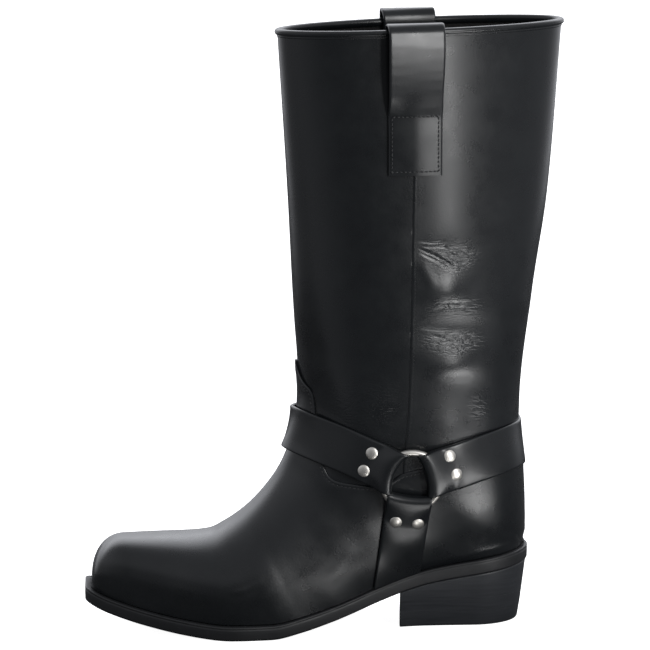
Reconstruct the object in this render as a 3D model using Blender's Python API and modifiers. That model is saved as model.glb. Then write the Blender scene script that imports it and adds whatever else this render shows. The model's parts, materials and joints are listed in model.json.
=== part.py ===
"""Right-foot biker boot: a black leather pull-on with a ring harness at the ankle.

Sizes are in millimetres and become metres when a mesh is made. The toe points to -X, the medial
side faces -Y, +Z is up, and the origin is the centre of the heel's ground face.
"""

import math
from collections import namedtuple

import bmesh
import bpy
import numpy as np
from mathutils import Matrix, Vector
from mathutils.bvhtree import BVHTree

MM = 0.001
GAP = 0.3
FAR = 200.0
WELD = 0.002

# Sole: one band of even thickness with an arch, a toe spring and a flat spot under the ball
SOLE_TOE_X = -230.0
SOLE_HEEL_X = 43.5
SOLE_THICK = 9.0
TOE_ROUND_X = -208.0
TOE_ROUND_REACH = 23.0
TOE_SQUARE = 3.6
HEEL_ROUND_X = 8.0
TOE_STATIONS = 7
SOLE_STATIONS = 27
HEEL_STATIONS = 8
SoleTop = namedtuple("SoleTop", "x z")
SOLE_TOP = (
    SoleTop(-230.0, 27.5),
    SoleTop(-215.0, 21.8),
    SoleTop(-195.0, 16.2),
    SoleTop(-170.0, 11.6),
    SoleTop(-142.0, 9.0),
    SoleTop(-118.0, 9.0),
    SoleTop(-98.0, 12.4),
    SoleTop(-81.0, 16.8),
    SoleTop(-66.0, 21.6),
    SoleTop(-50.0, 27.4),
    SoleTop(-36.0, 32.2),
    SoleTop(-18.0, 37.2),
    SoleTop(10.0, 42.0),
    SoleTop(43.5, 46.5),
)
Plan = namedtuple("Plan", "x middle half")
SOLE_PLAN = (
    Plan(-230.0, -12.0, 22.5),
    Plan(-214.0, -11.0, 28.0),
    Plan(-180.0, -10.0, 40.0),
    Plan(-160.0, -10.5, 46.0),
    Plan(-140.0, -11.0, 49.0),
    Plan(-115.0, -8.5, 49.5),
    Plan(-80.0, -4.0, 44.0),
    Plan(-50.0, -1.0, 37.0),
    Plan(-20.0, 0.0, 33.0),
    Plan(8.0, 0.0, 32.5),
    Plan(43.5, 0.0, 32.5),
)

# Heel: a stacked block on the sole's seat, with a lift that meets the ground
HEEL_BREAST_X = -36.0
HEEL_TOP_INSET = 3.2
HEEL_GROUND_INSET = 7.0
LIFT_THICK = 10.5
HEEL_SIDE_STATIONS = 7

# Upper: its wall, the edge where it meets the sole, and the rounding of the toe box
WALL = 2.2
FEATHER_INSET_TOE = 4.0
FEATHER_INSET_HEEL = 2.0
FEATHER_GAP = 0.6
UPPER_TOE_X = -226.0
TOE_BOX_X = -205.0
TOE_BOX_TOP = 56.0
TOE_FRONT_ROUND = 2.0
TOE_BOX_BULGE = 0.5
LEAST_BULGE = 1.002
LEAST_COSINE = 1e-6
SECTION_SAMPLES = 90
UPPER_HALF_POINTS = 13
UPPER_TOE_ROWS = 6
TOE_ROW_CROWD = 1.6
UPPER_EDGE_ROWS = 12
UPPER_HEEL_ROWS = 5
UPPER_SHAFT_ROWS = 12
EDGE_CROWD = 1.4
EDGE_CROWD_ROWS = 6
CAST_FINER = 4

# Sections of the upper from the toe box to the collar. A section lies in a plane across the boot,
# from a base on the sole's edge or on the back line to a ridge on the front line. Sides are half
# widths, belly is where the section is widest, low and high are the roundness below and above it.
Section = namedtuple(
    "Section", "base_x base_z ridge_x ridge_z base_y ridge_y medial lateral belly low high"
)
SECTIONS = (
    Section(-205.0, None, -205.0, 56.0, None, -11.0, 27.0, 27.0, 0.30, 2.4, 2.7),
    Section(-185.0, None, -186.0, 56.4, None, -11.0, 34.6, 34.6, 0.28, 2.4, 2.5),
    Section(-165.0, None, -168.0, 57.0, None, -12.0, 41.0, 41.0, 0.27, 2.4, 2.3),
    Section(-145.0, None, -154.0, 58.8, None, -13.0, 45.0, 45.0, 0.27, 2.4, 2.1),
    Section(-125.0, None, -144.0, 64.0, None, -13.0, 46.2, 46.2, 0.27, 2.4, 2.0),
    Section(-105.0, None, -133.5, 71.5, None, -13.0, 45.4, 45.4, 0.28, 2.4, 1.95),
    Section(-85.0, None, -123.0, 81.5, None, -12.0, 43.0, 43.0, 0.30, 2.3, 1.95),
    Section(-60.0, None, -113.0, 94.5, None, -11.0, 39.0, 39.0, 0.35, 2.2, 1.95),
    Section(-20.0, None, -105.5, 108.0, None, -10.0, 36.5, 36.5, 0.42, 2.2, 2.0),
    Section(15.0, None, -101.0, 120.0, None, -8.0, 37.0, 37.0, 0.47, 2.2, 2.05),
    Section(41.5, None, -99.0, 132.0, 0.0, -7.0, 38.0, 38.0, 0.50, 2.2, 2.1),
    Section(43.0, 74.0, -98.5, 146.0, 0.0, -6.0, 38.5, 38.5, 0.50, 2.3, 2.1),
    Section(38.0, 130.0, -99.5, 165.0, 2.0, -6.0, 39.0, 39.0, 0.50, 2.2, 2.1),
    Section(45.5, 202.0, -102.0, 205.0, 6.0, -8.0, 40.0, 40.0, 0.50, 2.1, 2.1),
    Section(53.5, 264.0, -105.0, 264.0, 10.0, -11.0, 39.0, 39.0, 0.50, 2.0, 2.0),
    Section(61.5, 371.0, -111.0, 366.0, 16.0, -16.0, 36.0, 36.0, 0.50, 2.0, 2.0),
)

# Insole
INSOLE_THICK = 3.0
INSOLE_SIDE_CLEAR = 1.5
INSOLE_TOE_CLEAR = 6.0
INSOLE_TOE_TAPER = 0.35
INSOLE_HEEL_CLEAR = 3.0
INSOLE_TOE_STATIONS = 5
INSOLE_STATIONS = 22
INSOLE_HEEL_STATIONS = 7

# Collar binding: a folded strip over the rim
BINDING_THICK = 1.3
BINDING_DROP = 4.5

# Pull straps: loops sewn outside and inside the shaft and standing over the collar
PULL_X = -29.7
PULL_WIDE = 33.5
PULL_THICK = 2.0
PULL_ACROSS = 5
PullPoint = namedtuple("PullPoint", "z out")
PULL_OUTSIDE = (
    PullPoint(282.0, 1.5),
    PullPoint(303.0, 1.5),
    PullPoint(321.0, 1.5),
    PullPoint(345.0, 3.2),
    PullPoint(368.0, 4.4),
)
PULL_INSIDE = (
    PullPoint(368.0, -5.6),
    PullPoint(350.0, -5.2),
    PullPoint(325.0, -3.9),
    PullPoint(300.0, -3.9),
)
PULL_FIT_Z = 362.0
PULL_FIT_SPAN = 20.0
PULL_TOP_STEPS = 5

# Harness: rings of round wire held in folded strap ends, with two rivets at each end
RING_X = -31.5
RING_Z = 95.5
RING_RADIUS = 17.8
WIRE_RADIUS = 1.9
WIRE_CLEAR = 0.35
STRAP_WIDE = 27.5
STRAP_THICK = 2.0
STRAP_GAP = 0.6
STRAP_ACROSS = 5
FOLD_RADIUS = WIRE_RADIUS + WIRE_CLEAR + STRAP_THICK
FOLD_SPAN = math.radians(49.0)
FOLD_TAIL = 22.0
FOLD_TAIL_END = 4.0
FOLD_RAMP = 13.0
FOLD_STEPS = 8
FOLD_BEVEL = 2
RING_SAMPLES = 24
RING_STEPS = 28
WIRE_STEPS = 8
STRAP_FOOT_CLEAR = 1.0
FOOT_SEARCH_STEPS = 8
TONGUE_ROOM = 2.2
BACK_ROOM = 0.7
ROOM_SPAN = 0.45
END_TAPER = 0.12
END_TAPER_SPAN = 0.2
Strap = namedtuple("Strap", "title angle slope bow rivet_reach rivet_spread rows")
FRONT_STRAP = Strap("front", math.radians(156.0), math.radians(160.0), 3.0, 29.0, 6.0, 12)
BACK_STRAP = Strap("back", math.radians(20.0), math.radians(12.5), 2.0, 27.0, 6.2, 12)
DOWN_STRAP = Strap("down", math.radians(-96.0), math.radians(-97.5), 0.0, 26.5, 6.8, 10)
RIVET_HEAD_RADIUS = 3.8
RIVET_HEAD_TALL = 1.9
RIVET_EDGE = 0.6
RIVET_DOME_WIDE_SHARE = 0.6
RIVET_DOME_TALL_SHARE = 0.85
RIVET_SHANK_RADIUS = 1.4
RIVET_DEPTH = 2.6
RIVET_SINK = 0.5
RIVET_SIDES = 8
RIVET_CUT_DEPTH = 12.0
RIVET_CUT_TALL = 4.0

# Finishes: colour, roughness and metallic
Finish = namedtuple("Finish", "colour roughness metallic")
FINISHES = {
    "black_leather": Finish((0.012, 0.012, 0.013), 0.38, 0.0),
    "strap_leather": Finish((0.014, 0.014, 0.015), 0.34, 0.0),
    "black_rubber": Finish((0.016, 0.016, 0.017), 0.62, 0.0),
    "stacked_heel": Finish((0.015, 0.014, 0.014), 0.5, 0.0),
    "insole_board": Finish((0.05, 0.045, 0.04), 0.8, 0.0),
    "nickel": Finish((0.62, 0.62, 0.6), 0.22, 1.0),
}

SIDES = {"medial": -1.0, "lateral": 1.0}


def clear_scene():
    """Remove whatever the open file holds."""
    for item in list(bpy.data.objects):
        bpy.data.objects.remove(item, do_unlink=True)


def new_collection(name):
    """Add a collection to the scene."""
    made = bpy.data.collections.new(name)
    bpy.context.scene.collection.children.link(made)
    return made


def new_material(name):
    """Make a Principled material from the table of finishes."""
    finish = FINISHES[name]
    material = bpy.data.materials.new(name)
    material.use_nodes = True
    shader = material.node_tree.nodes["Principled BSDF"]
    shader.inputs["Base Color"].default_value = (*finish.colour, 1.0)
    shader.inputs["Roughness"].default_value = finish.roughness
    shader.inputs["Metallic"].default_value = finish.metallic
    return material


def smooth(at, knots, values):
    """Read a smooth curve through the knots that never swings past its values."""
    at = np.atleast_1d(np.asarray(at, float))
    knots = np.asarray(knots, float)
    values = np.asarray(values, float)
    steps = np.diff(knots)
    slopes = np.diff(values) / steps
    tangents = np.empty_like(values)
    tangents[0] = slopes[0]
    tangents[-1] = slopes[-1]
    for i in range(1, len(knots) - 1):
        before, after = slopes[i - 1], slopes[i]
        if before * after <= 0.0:
            tangents[i] = 0.0
        else:
            near = 2.0 * steps[i] + steps[i - 1]
            far = steps[i] + 2.0 * steps[i - 1]
            tangents[i] = (near + far) / (near / before + far / after)
    k = np.clip(np.searchsorted(knots, at) - 1, 0, len(steps) - 1)
    t = np.clip((at - knots[k]) / steps[k], 0.0, 1.0)
    rest = 1.0 - t
    return (
        values[k] * (1.0 + 2.0 * t) * rest**2
        + values[k + 1] * t**2 * (3.0 - 2.0 * t)
        + steps[k] * (tangents[k] * t * rest**2 - tangents[k + 1] * t**2 * rest)
    )


def ease(t):
    """Go from 0 to 1 with a soft start and stop."""
    t = np.clip(t, 0.0, 1.0)
    return t * t * (3.0 - 2.0 * t)


def sole_top(x):
    """Height of the sole's upper face."""
    return smooth(x, [row.x for row in SOLE_TOP], [row.z for row in SOLE_TOP])


def plan_middle(x):
    """Middle of the sole's outline across the boot."""
    return smooth(x, [row.x for row in SOLE_PLAN], [row.middle for row in SOLE_PLAN])


def plan_half(x, inset=0.0):
    """Half width of the sole's outline, moved in by an inset."""
    x = np.atleast_1d(np.asarray(x, float))
    half = smooth(x, [row.x for row in SOLE_PLAN], [row.half for row in SOLE_PLAN]) - inset
    toe = np.clip((TOE_ROUND_X - x) / (TOE_ROUND_REACH - inset), 0.0, 1.0)
    heel = np.clip((x - HEEL_ROUND_X) / (SOLE_HEEL_X - HEEL_ROUND_X - inset), 0.0, 1.0)
    return half * (1.0 - toe**TOE_SQUARE) ** (1.0 / TOE_SQUARE) * np.sqrt(1.0 - heel**2)


def feather_half(x):
    """Half width of the edge where the upper meets the sole."""
    x = np.atleast_1d(np.asarray(x, float))
    along = np.clip((x - TOE_BOX_X) / (HEEL_ROUND_X - TOE_BOX_X), 0.0, 1.0)
    inset = FEATHER_INSET_TOE + (FEATHER_INSET_HEEL - FEATHER_INSET_TOE) * along
    toe_side = plan_half(x, FEATHER_INSET_TOE)
    heel_side = plan_half(x, FEATHER_INSET_HEEL)
    middle = plan_half(x) - inset
    return np.where(x < TOE_BOX_X, toe_side, np.where(x > HEEL_ROUND_X, heel_side, middle))


def stations(start, end, count):
    """Places along the boot that crowd together towards a rounded end."""
    return start + (end - start) * np.sin(np.linspace(0.0, math.pi / 2.0, count))


def finish_mesh(name, work, collection, material):
    """Weld a bmesh, scale it to metres and put it in the scene as one object."""
    bmesh.ops.remove_doubles(work, verts=work.verts, dist=WELD)
    bmesh.ops.scale(work, vec=(MM, MM, MM), verts=work.verts)
    mesh = bpy.data.meshes.new(name)
    work.to_mesh(mesh)
    work.free()
    made = bpy.data.objects.new(name, mesh)
    collection.objects.link(made)
    mesh.materials.append(material)
    return made


def add_grid(work, grid, flip=False, closed=False):
    """Add a grid of points to a bmesh as quads, and return its vertices."""
    rows, columns = grid.shape[:2]
    verts = [[work.verts.new(Vector(grid[i, j])) for j in range(columns)] for i in range(rows)]
    for i in range(rows if closed else rows - 1):
        for j in range(columns - 1):
            after = (i + 1) % rows
            corners = (verts[i][j], verts[after][j], verts[after][j + 1], verts[i][j + 1])
            work.faces.new(corners[::-1] if flip else corners)
    return verts


def face_out(work):
    """Turn every face of a closed bmesh outward."""
    bmesh.ops.remove_doubles(work, verts=work.verts, dist=WELD)
    bmesh.ops.recalc_face_normals(work, faces=work.faces)


def around_rim(verts):
    """Vertices of a grid's four edges in order."""
    far = [row[-1] for row in verts[1:]]
    near = [row[0] for row in verts[-2:0:-1]]
    return verts[0] + far + verts[-1][-2::-1] + near


def sheet_between(name, inner, outer, collection, material):
    """Close the space between two grids into one solid."""
    work = bmesh.new()
    low = add_grid(work, inner, flip=True)
    top = add_grid(work, outer)
    rim_low, rim_top = around_rim(low), around_rim(top)
    for i in range(len(rim_low)):
        after = (i + 1) % len(rim_low)
        work.faces.new((rim_low[i], rim_low[after], rim_top[after], rim_top[i]))
    face_out(work)
    return finish_mesh(name, work, collection, material)


def slab(name, top, bottom, collection, material):
    """Close the space between two strips, each a row of x, medial edge, lateral edge and height."""
    rings = []
    for upper, lower in zip(top, bottom):
        rings.append(
            (
                (upper[0], upper[1], upper[3]),
                (upper[0], upper[2], upper[3]),
                (lower[0], lower[2], lower[3]),
                (lower[0], lower[1], lower[3]),
                (upper[0], upper[1], upper[3]),
            )
        )
    work = bmesh.new()
    verts = add_grid(work, np.array(rings))
    work.faces.new(verts[0][:4])
    if top[-1][2] - top[-1][1] > GAP:
        work.faces.new(verts[-1][3::-1])
    face_out(work)
    return finish_mesh(name, work, collection, material)


def strip(x, inset, z):
    """Edges of the sole's outline at the given places, moved in by an inset."""
    middle = plan_middle(x)
    half = plan_half(x, inset)
    return np.stack([x, middle - half, middle + half, np.broadcast_to(z, x.shape)], -1)


def build_outsole(collection, material):
    """One band under the whole boot, with the arch, the toe spring and the flat under the ball."""
    x = np.concatenate(
        [
            stations(TOE_ROUND_X, SOLE_TOE_X, TOE_STATIONS)[::-1],
            np.linspace(TOE_ROUND_X, HEEL_ROUND_X, SOLE_STATIONS)[1:],
            stations(HEEL_ROUND_X, SOLE_HEEL_X, HEEL_STATIONS)[1:],
        ]
    )
    top = sole_top(x)
    return slab("outsole", strip(x, 0.0, top), strip(x, 0.0, top - SOLE_THICK), collection, material)


def heel_strip(z, height_share):
    """Outline of the heel at a height, given as a share of the way from ground to seat."""
    inset = HEEL_GROUND_INSET + (HEEL_TOP_INSET - HEEL_GROUND_INSET) * height_share
    x = np.concatenate(
        [
            np.linspace(HEEL_BREAST_X, HEEL_ROUND_X, HEEL_SIDE_STATIONS),
            stations(HEEL_ROUND_X, SOLE_HEEL_X - inset, HEEL_STATIONS)[1:],
        ]
    )
    return strip(x, inset, z(x) if callable(z) else z)


def build_heel(collection, leather, rubber):
    """Stacked block and top lift, tapering from the seat to the ground."""
    lift_share = LIFT_THICK / (sole_top(0.0)[0] - SOLE_THICK)

    def seat(x):
        """Height of the block's top face, just under the sole."""
        return sole_top(x) - SOLE_THICK - GAP

    slab("heel", heel_strip(seat, 1.0), heel_strip(LIFT_THICK, lift_share), collection, leather)
    slab("top_lift", heel_strip(LIFT_THICK - GAP, lift_share), heel_strip(0.0, 0.0), collection, rubber)


def toe_sections(count):
    """Sections of the toe box, which fall in a round from its top to the edge at the front."""
    first = SECTIONS[0]
    rows = []
    for share in np.linspace(1.0, 0.0, count, endpoint=False):
        ratio = math.sin(share**TOE_ROW_CROWD * math.pi / 2.0)
        x = TOE_BOX_X - (TOE_BOX_X - UPPER_TOE_X) * ratio
        edge = sole_top(x)[0] + FEATHER_GAP
        fall = max(1.0 - ratio**TOE_FRONT_ROUND, 0.0) ** (1.0 / TOE_FRONT_ROUND)
        ridge = edge + (TOE_BOX_TOP - edge) * fall
        half = feather_half(x)[0] + TOE_BOX_BULGE * fall
        rows.append(
            Section(x, None, x, ridge, None, first.ridge_y, half, half, first.belly, first.low, first.high)
        )
    return rows


def full_section(row):
    """Fill in the base of a section that stands on the sole's edge."""
    if row.base_z is not None:
        return row
    middle = row.base_y if row.base_y is not None else plan_middle(row.base_x)[0]
    return row._replace(base_z=sole_top(row.base_x)[0] + FEATHER_GAP, base_y=middle)


def body_sections(finer):
    """Sections from the toe box to the collar, read from smooth curves through the table."""
    table = np.array([full_section(row) for row in SECTIONS], float)
    moves = np.diff(table[:, :4], axis=0)
    paths = np.hypot(moves[:, 0], moves[:, 1]) + np.hypot(moves[:, 2], moves[:, 3])
    knots = np.concatenate([[0.0], np.cumsum(paths)])
    last_edge = sum(row.base_z is None for row in SECTIONS) - 1
    heel_start, heel_end = knots[last_edge - 1], knots[last_edge]
    heel_turn = np.linspace(0.0, math.pi / 2.0, UPPER_HEEL_ROWS * finer + 1)[1:]
    along = np.concatenate(
        [
            np.linspace(0.0, heel_start, UPPER_EDGE_ROWS * finer),
            heel_start + (heel_end - heel_start) * np.sin(heel_turn),
            np.linspace(heel_end, knots[-1], UPPER_SHAFT_ROWS * finer + 1)[1:],
        ]
    )
    columns = [smooth(along, knots, table[:, i]) for i in range(table.shape[1])]
    rows = [Section(*values) for values in zip(*columns)]
    edge_count = (UPPER_EDGE_ROWS + UPPER_HEEL_ROWS) * finer
    for i in range(edge_count):
        base_z = sole_top(rows[i].base_x)[0] + FEATHER_GAP
        rows[i] = rows[i]._replace(base_z=base_z, base_y=plan_middle(rows[i].base_x)[0])
    return rows, edge_count


def section_side(row, sign, edge_half, count, crowd):
    """Points of one side of a section from its base to its ridge, crowded towards the base if asked."""
    wide = max(row.medial if sign < 0 else row.lateral, edge_half * LEAST_BULGE)
    start = math.asin((edge_half / wide) ** (row.low / 2.0))
    turn = np.linspace(0.0, 1.0, SECTION_SAMPLES)
    low_turn = start + (math.pi / 2.0 - start) * turn
    reach = row.belly / max(math.cos(start), LEAST_COSINE) ** (2.0 / row.low)
    low_q = row.belly - reach * np.maximum(np.cos(low_turn), 0.0) ** (2.0 / row.low)
    low_w = wide * np.sin(low_turn) ** (2.0 / row.low)
    high_turn = turn[1:] * math.pi / 2.0
    high_q = row.belly + (1.0 - row.belly) * np.sin(high_turn) ** (2.0 / row.high)
    high_w = wide * np.maximum(np.cos(high_turn), 0.0) ** (2.0 / row.high)
    q = np.concatenate([low_q, high_q])
    w = np.concatenate([low_w, high_w])
    points = np.stack(
        [
            row.base_x + (row.ridge_x - row.base_x) * q,
            row.base_y + (row.ridge_y - row.base_y) * q + sign * w,
            row.base_z + (row.ridge_z - row.base_z) * q,
        ],
        -1,
    )
    lengths = np.concatenate([[0.0], np.cumsum(np.linalg.norm(np.diff(points, axis=0), axis=1))])
    spread = lengths[-1] * np.linspace(0.0, 1.0, count + 1) ** crowd
    return np.stack([np.interp(spread, lengths, points[:, i]) for i in range(3)], -1)


def upper_grid(finer=1):
    """Outer surface of the upper: a row of points for each section, medial edge to lateral edge."""
    rows, edge_count = body_sections(finer)
    toe = [full_section(row) for row in toe_sections(UPPER_TOE_ROWS * finer)]
    grid = []
    for i, row in enumerate(toe + rows):
        past_edge = i - (len(toe) + edge_count - 1)
        edge_half = feather_half(row.base_x)[0] if past_edge < 0 else 0.0
        crowd = 1.0 + (EDGE_CROWD - 1.0) * (1.0 - ease(past_edge / (EDGE_CROWD_ROWS * finer)))
        medial = section_side(row, -1.0, edge_half, UPPER_HALF_POINTS * finer, crowd)
        lateral = section_side(row, 1.0, edge_half, UPPER_HALF_POINTS * finer, crowd)
        grid.append(np.concatenate([medial, lateral[-2::-1]]))
    return np.array(grid)


def build_upper(collection, material):
    """Vamp, counter and shaft as one hollow wall, open at the collar and along the sole."""
    work = bmesh.new()
    add_grid(work, upper_grid())
    made = finish_mesh("upper", work, collection, material)
    shell = made.modifiers.new("wall", "SOLIDIFY")
    shell.thickness = WALL * MM
    shell.offset = -1.0
    shell.use_quality_normals = True


def build_insole(collection, material):
    """Thin board on the sole, inside the upper's wall."""
    start = UPPER_TOE_X + WALL + INSOLE_TOE_CLEAR
    end = SOLE_HEEL_X - FEATHER_INSET_HEEL - WALL - INSOLE_HEEL_CLEAR
    x = np.concatenate(
        [
            stations(TOE_BOX_X, start, INSOLE_TOE_STATIONS)[::-1],
            np.linspace(TOE_BOX_X, HEEL_ROUND_X, INSOLE_STATIONS)[1:],
            stations(HEEL_ROUND_X, end, INSOLE_HEEL_STATIONS)[1:],
        ]
    )
    heel = np.clip((x - HEEL_ROUND_X) / (end - HEEL_ROUND_X), 0.0, 1.0)
    toe = np.clip((TOE_BOX_X - x) / (TOE_BOX_X - start), 0.0, 1.0)
    inside = feather_half(np.clip(x, TOE_BOX_X, HEEL_ROUND_X)) - WALL - INSOLE_SIDE_CLEAR
    half = inside * np.sqrt(1.0 - heel**2) * (1.0 - INSOLE_TOE_TAPER * toe**2)
    middle = plan_middle(x)
    base = sole_top(x) + GAP
    bottom = np.stack([x, middle - half, middle + half, base], -1)
    top = np.stack([x, middle - half, middle + half, base + INSOLE_THICK], -1)
    return slab("insole", top, bottom, collection, material)


class Outside:
    """The upper's outer surface, finely divided, for laying other pieces on it."""

    def __init__(self):
        grid = upper_grid(CAST_FINER)
        rows, columns = grid.shape[:2]
        quads = []
        for i in range(rows - 1):
            for j in range(columns - 1):
                at = i * columns + j
                quads.append((at, at + columns, at + columns + 1, at + 1))
        self.tree = BVHTree.FromPolygons(grid.reshape(-1, 3).tolist(), quads)

    def from_inside(self, origin, direction):
        """Point and outward normal where a ray from inside the boot leaves it."""
        place, normal, _, _ = self.tree.ray_cast(Vector(origin), Vector(direction))
        return np.array(place), np.array(normal)

    def from_side(self, side, x, z):
        """Point and outward normal of one side, at a place in the side view."""
        origin = Vector((x, side * FAR, z))
        place, normal, _, _ = self.tree.ray_cast(origin, Vector((0.0, -side, 0.0)))
        return np.array(place), np.array(normal)


def unit(vector):
    """Scale a vector to length one."""
    vector = np.asarray(vector, float)
    return vector / np.linalg.norm(vector)


def build_binding(collection, material):
    """Folded strip over the collar's rim, clear of the wall on both faces."""
    grid = upper_grid()
    rim, below = grid[-1][:-1], grid[-2][:-1]
    tall = BINDING_DROP
    near, far = GAP, GAP + BINDING_THICK
    profile = (
        (far, -tall),
        (far, near),
        (near, far),
        (-WALL - near, far),
        (-WALL - far, near),
        (-WALL - far, -tall),
        (-WALL - near, -tall),
        (-WALL - near, near),
        (near, near),
        (near, -tall),
    )
    rings = []
    for i in range(len(rim)):
        along = rim[(i + 1) % len(rim)] - rim[i - 1]
        up = unit(rim[i] - below[i])
        out = unit(np.cross(up, along))
        ring = [rim[i] + out * a + up * b for a, b in profile]
        rings.append(ring + ring[:1])
    work = bmesh.new()
    add_grid(work, np.array(rings), closed=True)
    face_out(work)
    return finish_mesh("collar_binding", work, collection, material)


def pull_path():
    """Middle line of a pull strap as height and distance out from the shaft's surface."""
    last, first = PULL_OUTSIDE[-1], PULL_INSIDE[0]
    radius = (last.out - first.out) / 2.0
    centre = (last.out + first.out) / 2.0
    turns = np.linspace(0.0, math.pi, PULL_TOP_STEPS + 2)[1:-1]
    top = [PullPoint(last.z + radius * math.sin(a), centre + radius * math.cos(a)) for a in turns]
    return np.array(list(PULL_OUTSIDE) + top + list(PULL_INSIDE))


def build_pull_strap(name, side, outside, collection, material):
    """Loop of strap that is sewn to the shaft outside and inside and stands over the collar."""
    path = pull_path()
    tangent = np.gradient(path, axis=0)
    tangent /= np.linalg.norm(tangent, axis=1, keepdims=True)
    away = np.stack([-tangent[:, 1], tangent[:, 0]], -1)
    faces = []
    for lift in (-PULL_THICK / 2.0, PULL_THICK / 2.0):
        line = path + away * lift
        grid = np.empty((len(line), PULL_ACROSS, 3))
        for j, across in enumerate(np.linspace(-PULL_WIDE / 2.0, PULL_WIDE / 2.0, PULL_ACROSS)):
            x = PULL_X + across
            high, normal = outside.from_side(side, x, PULL_FIT_Z)
            low, _ = outside.from_side(side, x, PULL_FIT_Z - PULL_FIT_SPAN)
            slope = (high - low) / (high[2] - low[2])
            level = unit((normal[0], normal[1], 0.0))
            for i, (z, out) in enumerate(line):
                if z < PULL_FIT_Z:
                    base, _ = outside.from_side(side, x, z)
                else:
                    base = high + slope * (z - PULL_FIT_Z)
                grid[i, j] = base + level * out
        faces.append(grid)
    return sheet_between(name, faces[1], faces[0], collection, material)


class RingSeat:
    """Where a harness ring sits: its centre, its axis out of the boot and its own plane."""

    def __init__(self, side, outside):
        turns = np.linspace(0.0, 2.0 * math.pi, RING_SAMPLES, endpoint=False)
        around = np.stack([RING_X + RING_RADIUS * np.cos(turns), RING_Z + RING_RADIUS * np.sin(turns)], -1)
        spots = np.array([outside.from_side(side, x, z)[0] for x, z in around])
        centre = spots.mean(axis=0)
        fit, _, _, _ = np.linalg.lstsq(
            np.stack([np.ones(len(spots)), spots[:, 0] - RING_X, spots[:, 2] - RING_Z], -1),
            spots[:, 1],
            rcond=None,
        )
        self.side = side
        self.title = "medial" if side < 0.0 else "lateral"
        self.axis = unit((-fit[1] * side, side, -fit[2] * side))
        flat = np.array([RING_X, fit[0], RING_Z])
        proud = ((spots - centre) @ self.axis).max()
        self.centre = flat + self.axis * (proud + FOLD_RADIUS + STRAP_GAP)
        self.right = unit(np.array([1.0, 0.0, 0.0]) - self.axis * self.axis[0])
        up = np.array([0.0, 0.0, 1.0])
        self.up = unit(up - self.axis * (up @ self.axis) - self.right * (up @ self.right))

    def around(self, angle, radius=RING_RADIUS):
        """Point of the ring at an angle from the heel side."""
        return self.centre + radius * (self.right * math.cos(angle) + self.up * math.sin(angle))

    def above(self, place):
        """Height of the ring's plane over a point of the upper."""
        return float((self.centre - place) @ self.axis)

    def matrix(self):
        """Placement of a torus on this seat, in metres."""
        turn = Matrix((self.right, unit(np.cross(self.axis, self.right)), self.axis)).transposed()
        return Matrix.Translation(Vector(self.centre * MM)) @ turn.to_4x4()


def add_torus(name, seat, minor, collection, material=None):
    """Ring of round wire on a seat."""
    bpy.ops.mesh.primitive_torus_add(
        major_radius=RING_RADIUS * MM,
        minor_radius=minor * MM,
        major_segments=RING_STEPS,
        minor_segments=WIRE_STEPS,
    )
    made = bpy.context.object
    made.name = name
    made.matrix_world = seat.matrix()
    for owner in list(made.users_collection):
        owner.objects.unlink(made)
    collection.objects.link(made)
    if material:
        made.data.materials.append(material)
    return made


def as_cutter(made):
    """Show an object as a wire that never renders."""
    made.hide_render = True
    made.display_type = "WIRE"
    return made


def add_fold(name, seat, angle, collection):
    """Rounded strap end that goes round the wire, as a mesh for joining."""
    curve = bpy.data.curves.new(name, "CURVE")
    curve.dimensions = "3D"
    curve.bevel_depth = FOLD_RADIUS * MM
    curve.bevel_resolution = FOLD_BEVEL
    curve.use_fill_caps = True
    line = curve.splines.new("POLY")
    turns = np.linspace(angle - FOLD_SPAN, angle + FOLD_SPAN, FOLD_STEPS)
    line.points.add(len(turns) - 1)
    for spot, turn in zip(line.points, turns):
        spot.co = (*(seat.around(turn) * MM), 1.0)
    wire = bpy.data.objects.new(name + "_path", curve)
    collection.objects.link(wire)
    mesh = bpy.data.meshes.new_from_object(wire.evaluated_get(bpy.context.evaluated_depsgraph_get()))
    bpy.data.objects.remove(wire, do_unlink=True)
    work = bmesh.new()
    work.from_mesh(mesh)
    bmesh.ops.remove_doubles(work, verts=work.verts, dist=WELD * MM)
    bmesh.ops.recalc_face_normals(work, faces=work.faces)
    work.to_mesh(mesh)
    work.free()
    made = bpy.data.objects.new(name, mesh)
    collection.objects.link(made)
    return as_cutter(made)


def strap_offsets(ring_height, reach, room):
    """Distances of a strap's two faces from the upper, at a reach from the ring's wire."""
    settle = ease(reach / FOLD_RAMP)
    folded = 1.0 - ease((reach - FOLD_TAIL) / FOLD_TAIL_END)
    rest = STRAP_GAP + room
    inner = (1.0 - settle) * (ring_height - STRAP_THICK) + settle * rest
    outer = (1.0 - settle) * (ring_height + STRAP_THICK) + settle * (rest + STRAP_THICK * (1.0 + folded))
    return inner, outer


def lay_strap(places, normals, seat, rooms):
    """Inner and outer faces of a strap from points on the upper, a row at a time."""
    middle = places[:, places.shape[1] // 2]
    steps = np.linalg.norm(np.diff(middle, axis=0), axis=1)
    reach = np.concatenate([[0.0], np.cumsum(steps)])
    inner = np.empty_like(places)
    outer = np.empty_like(places)
    for i in range(len(places)):
        for j in range(places.shape[1]):
            low, high = strap_offsets(seat.above(places[i, j]), reach[i], rooms[i])
            inner[i, j] = places[i, j] + normals[i, j] * low
            outer[i, j] = places[i, j] + normals[i, j] * high
    return inner, outer


def strap_across(share):
    """Places across a strap, which narrows a little where it meets the ring."""
    half = STRAP_WIDE / 2.0 * (1.0 - END_TAPER * (1.0 - ease(share / END_TAPER_SPAN)))
    return np.linspace(-half, half, STRAP_ACROSS)


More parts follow.
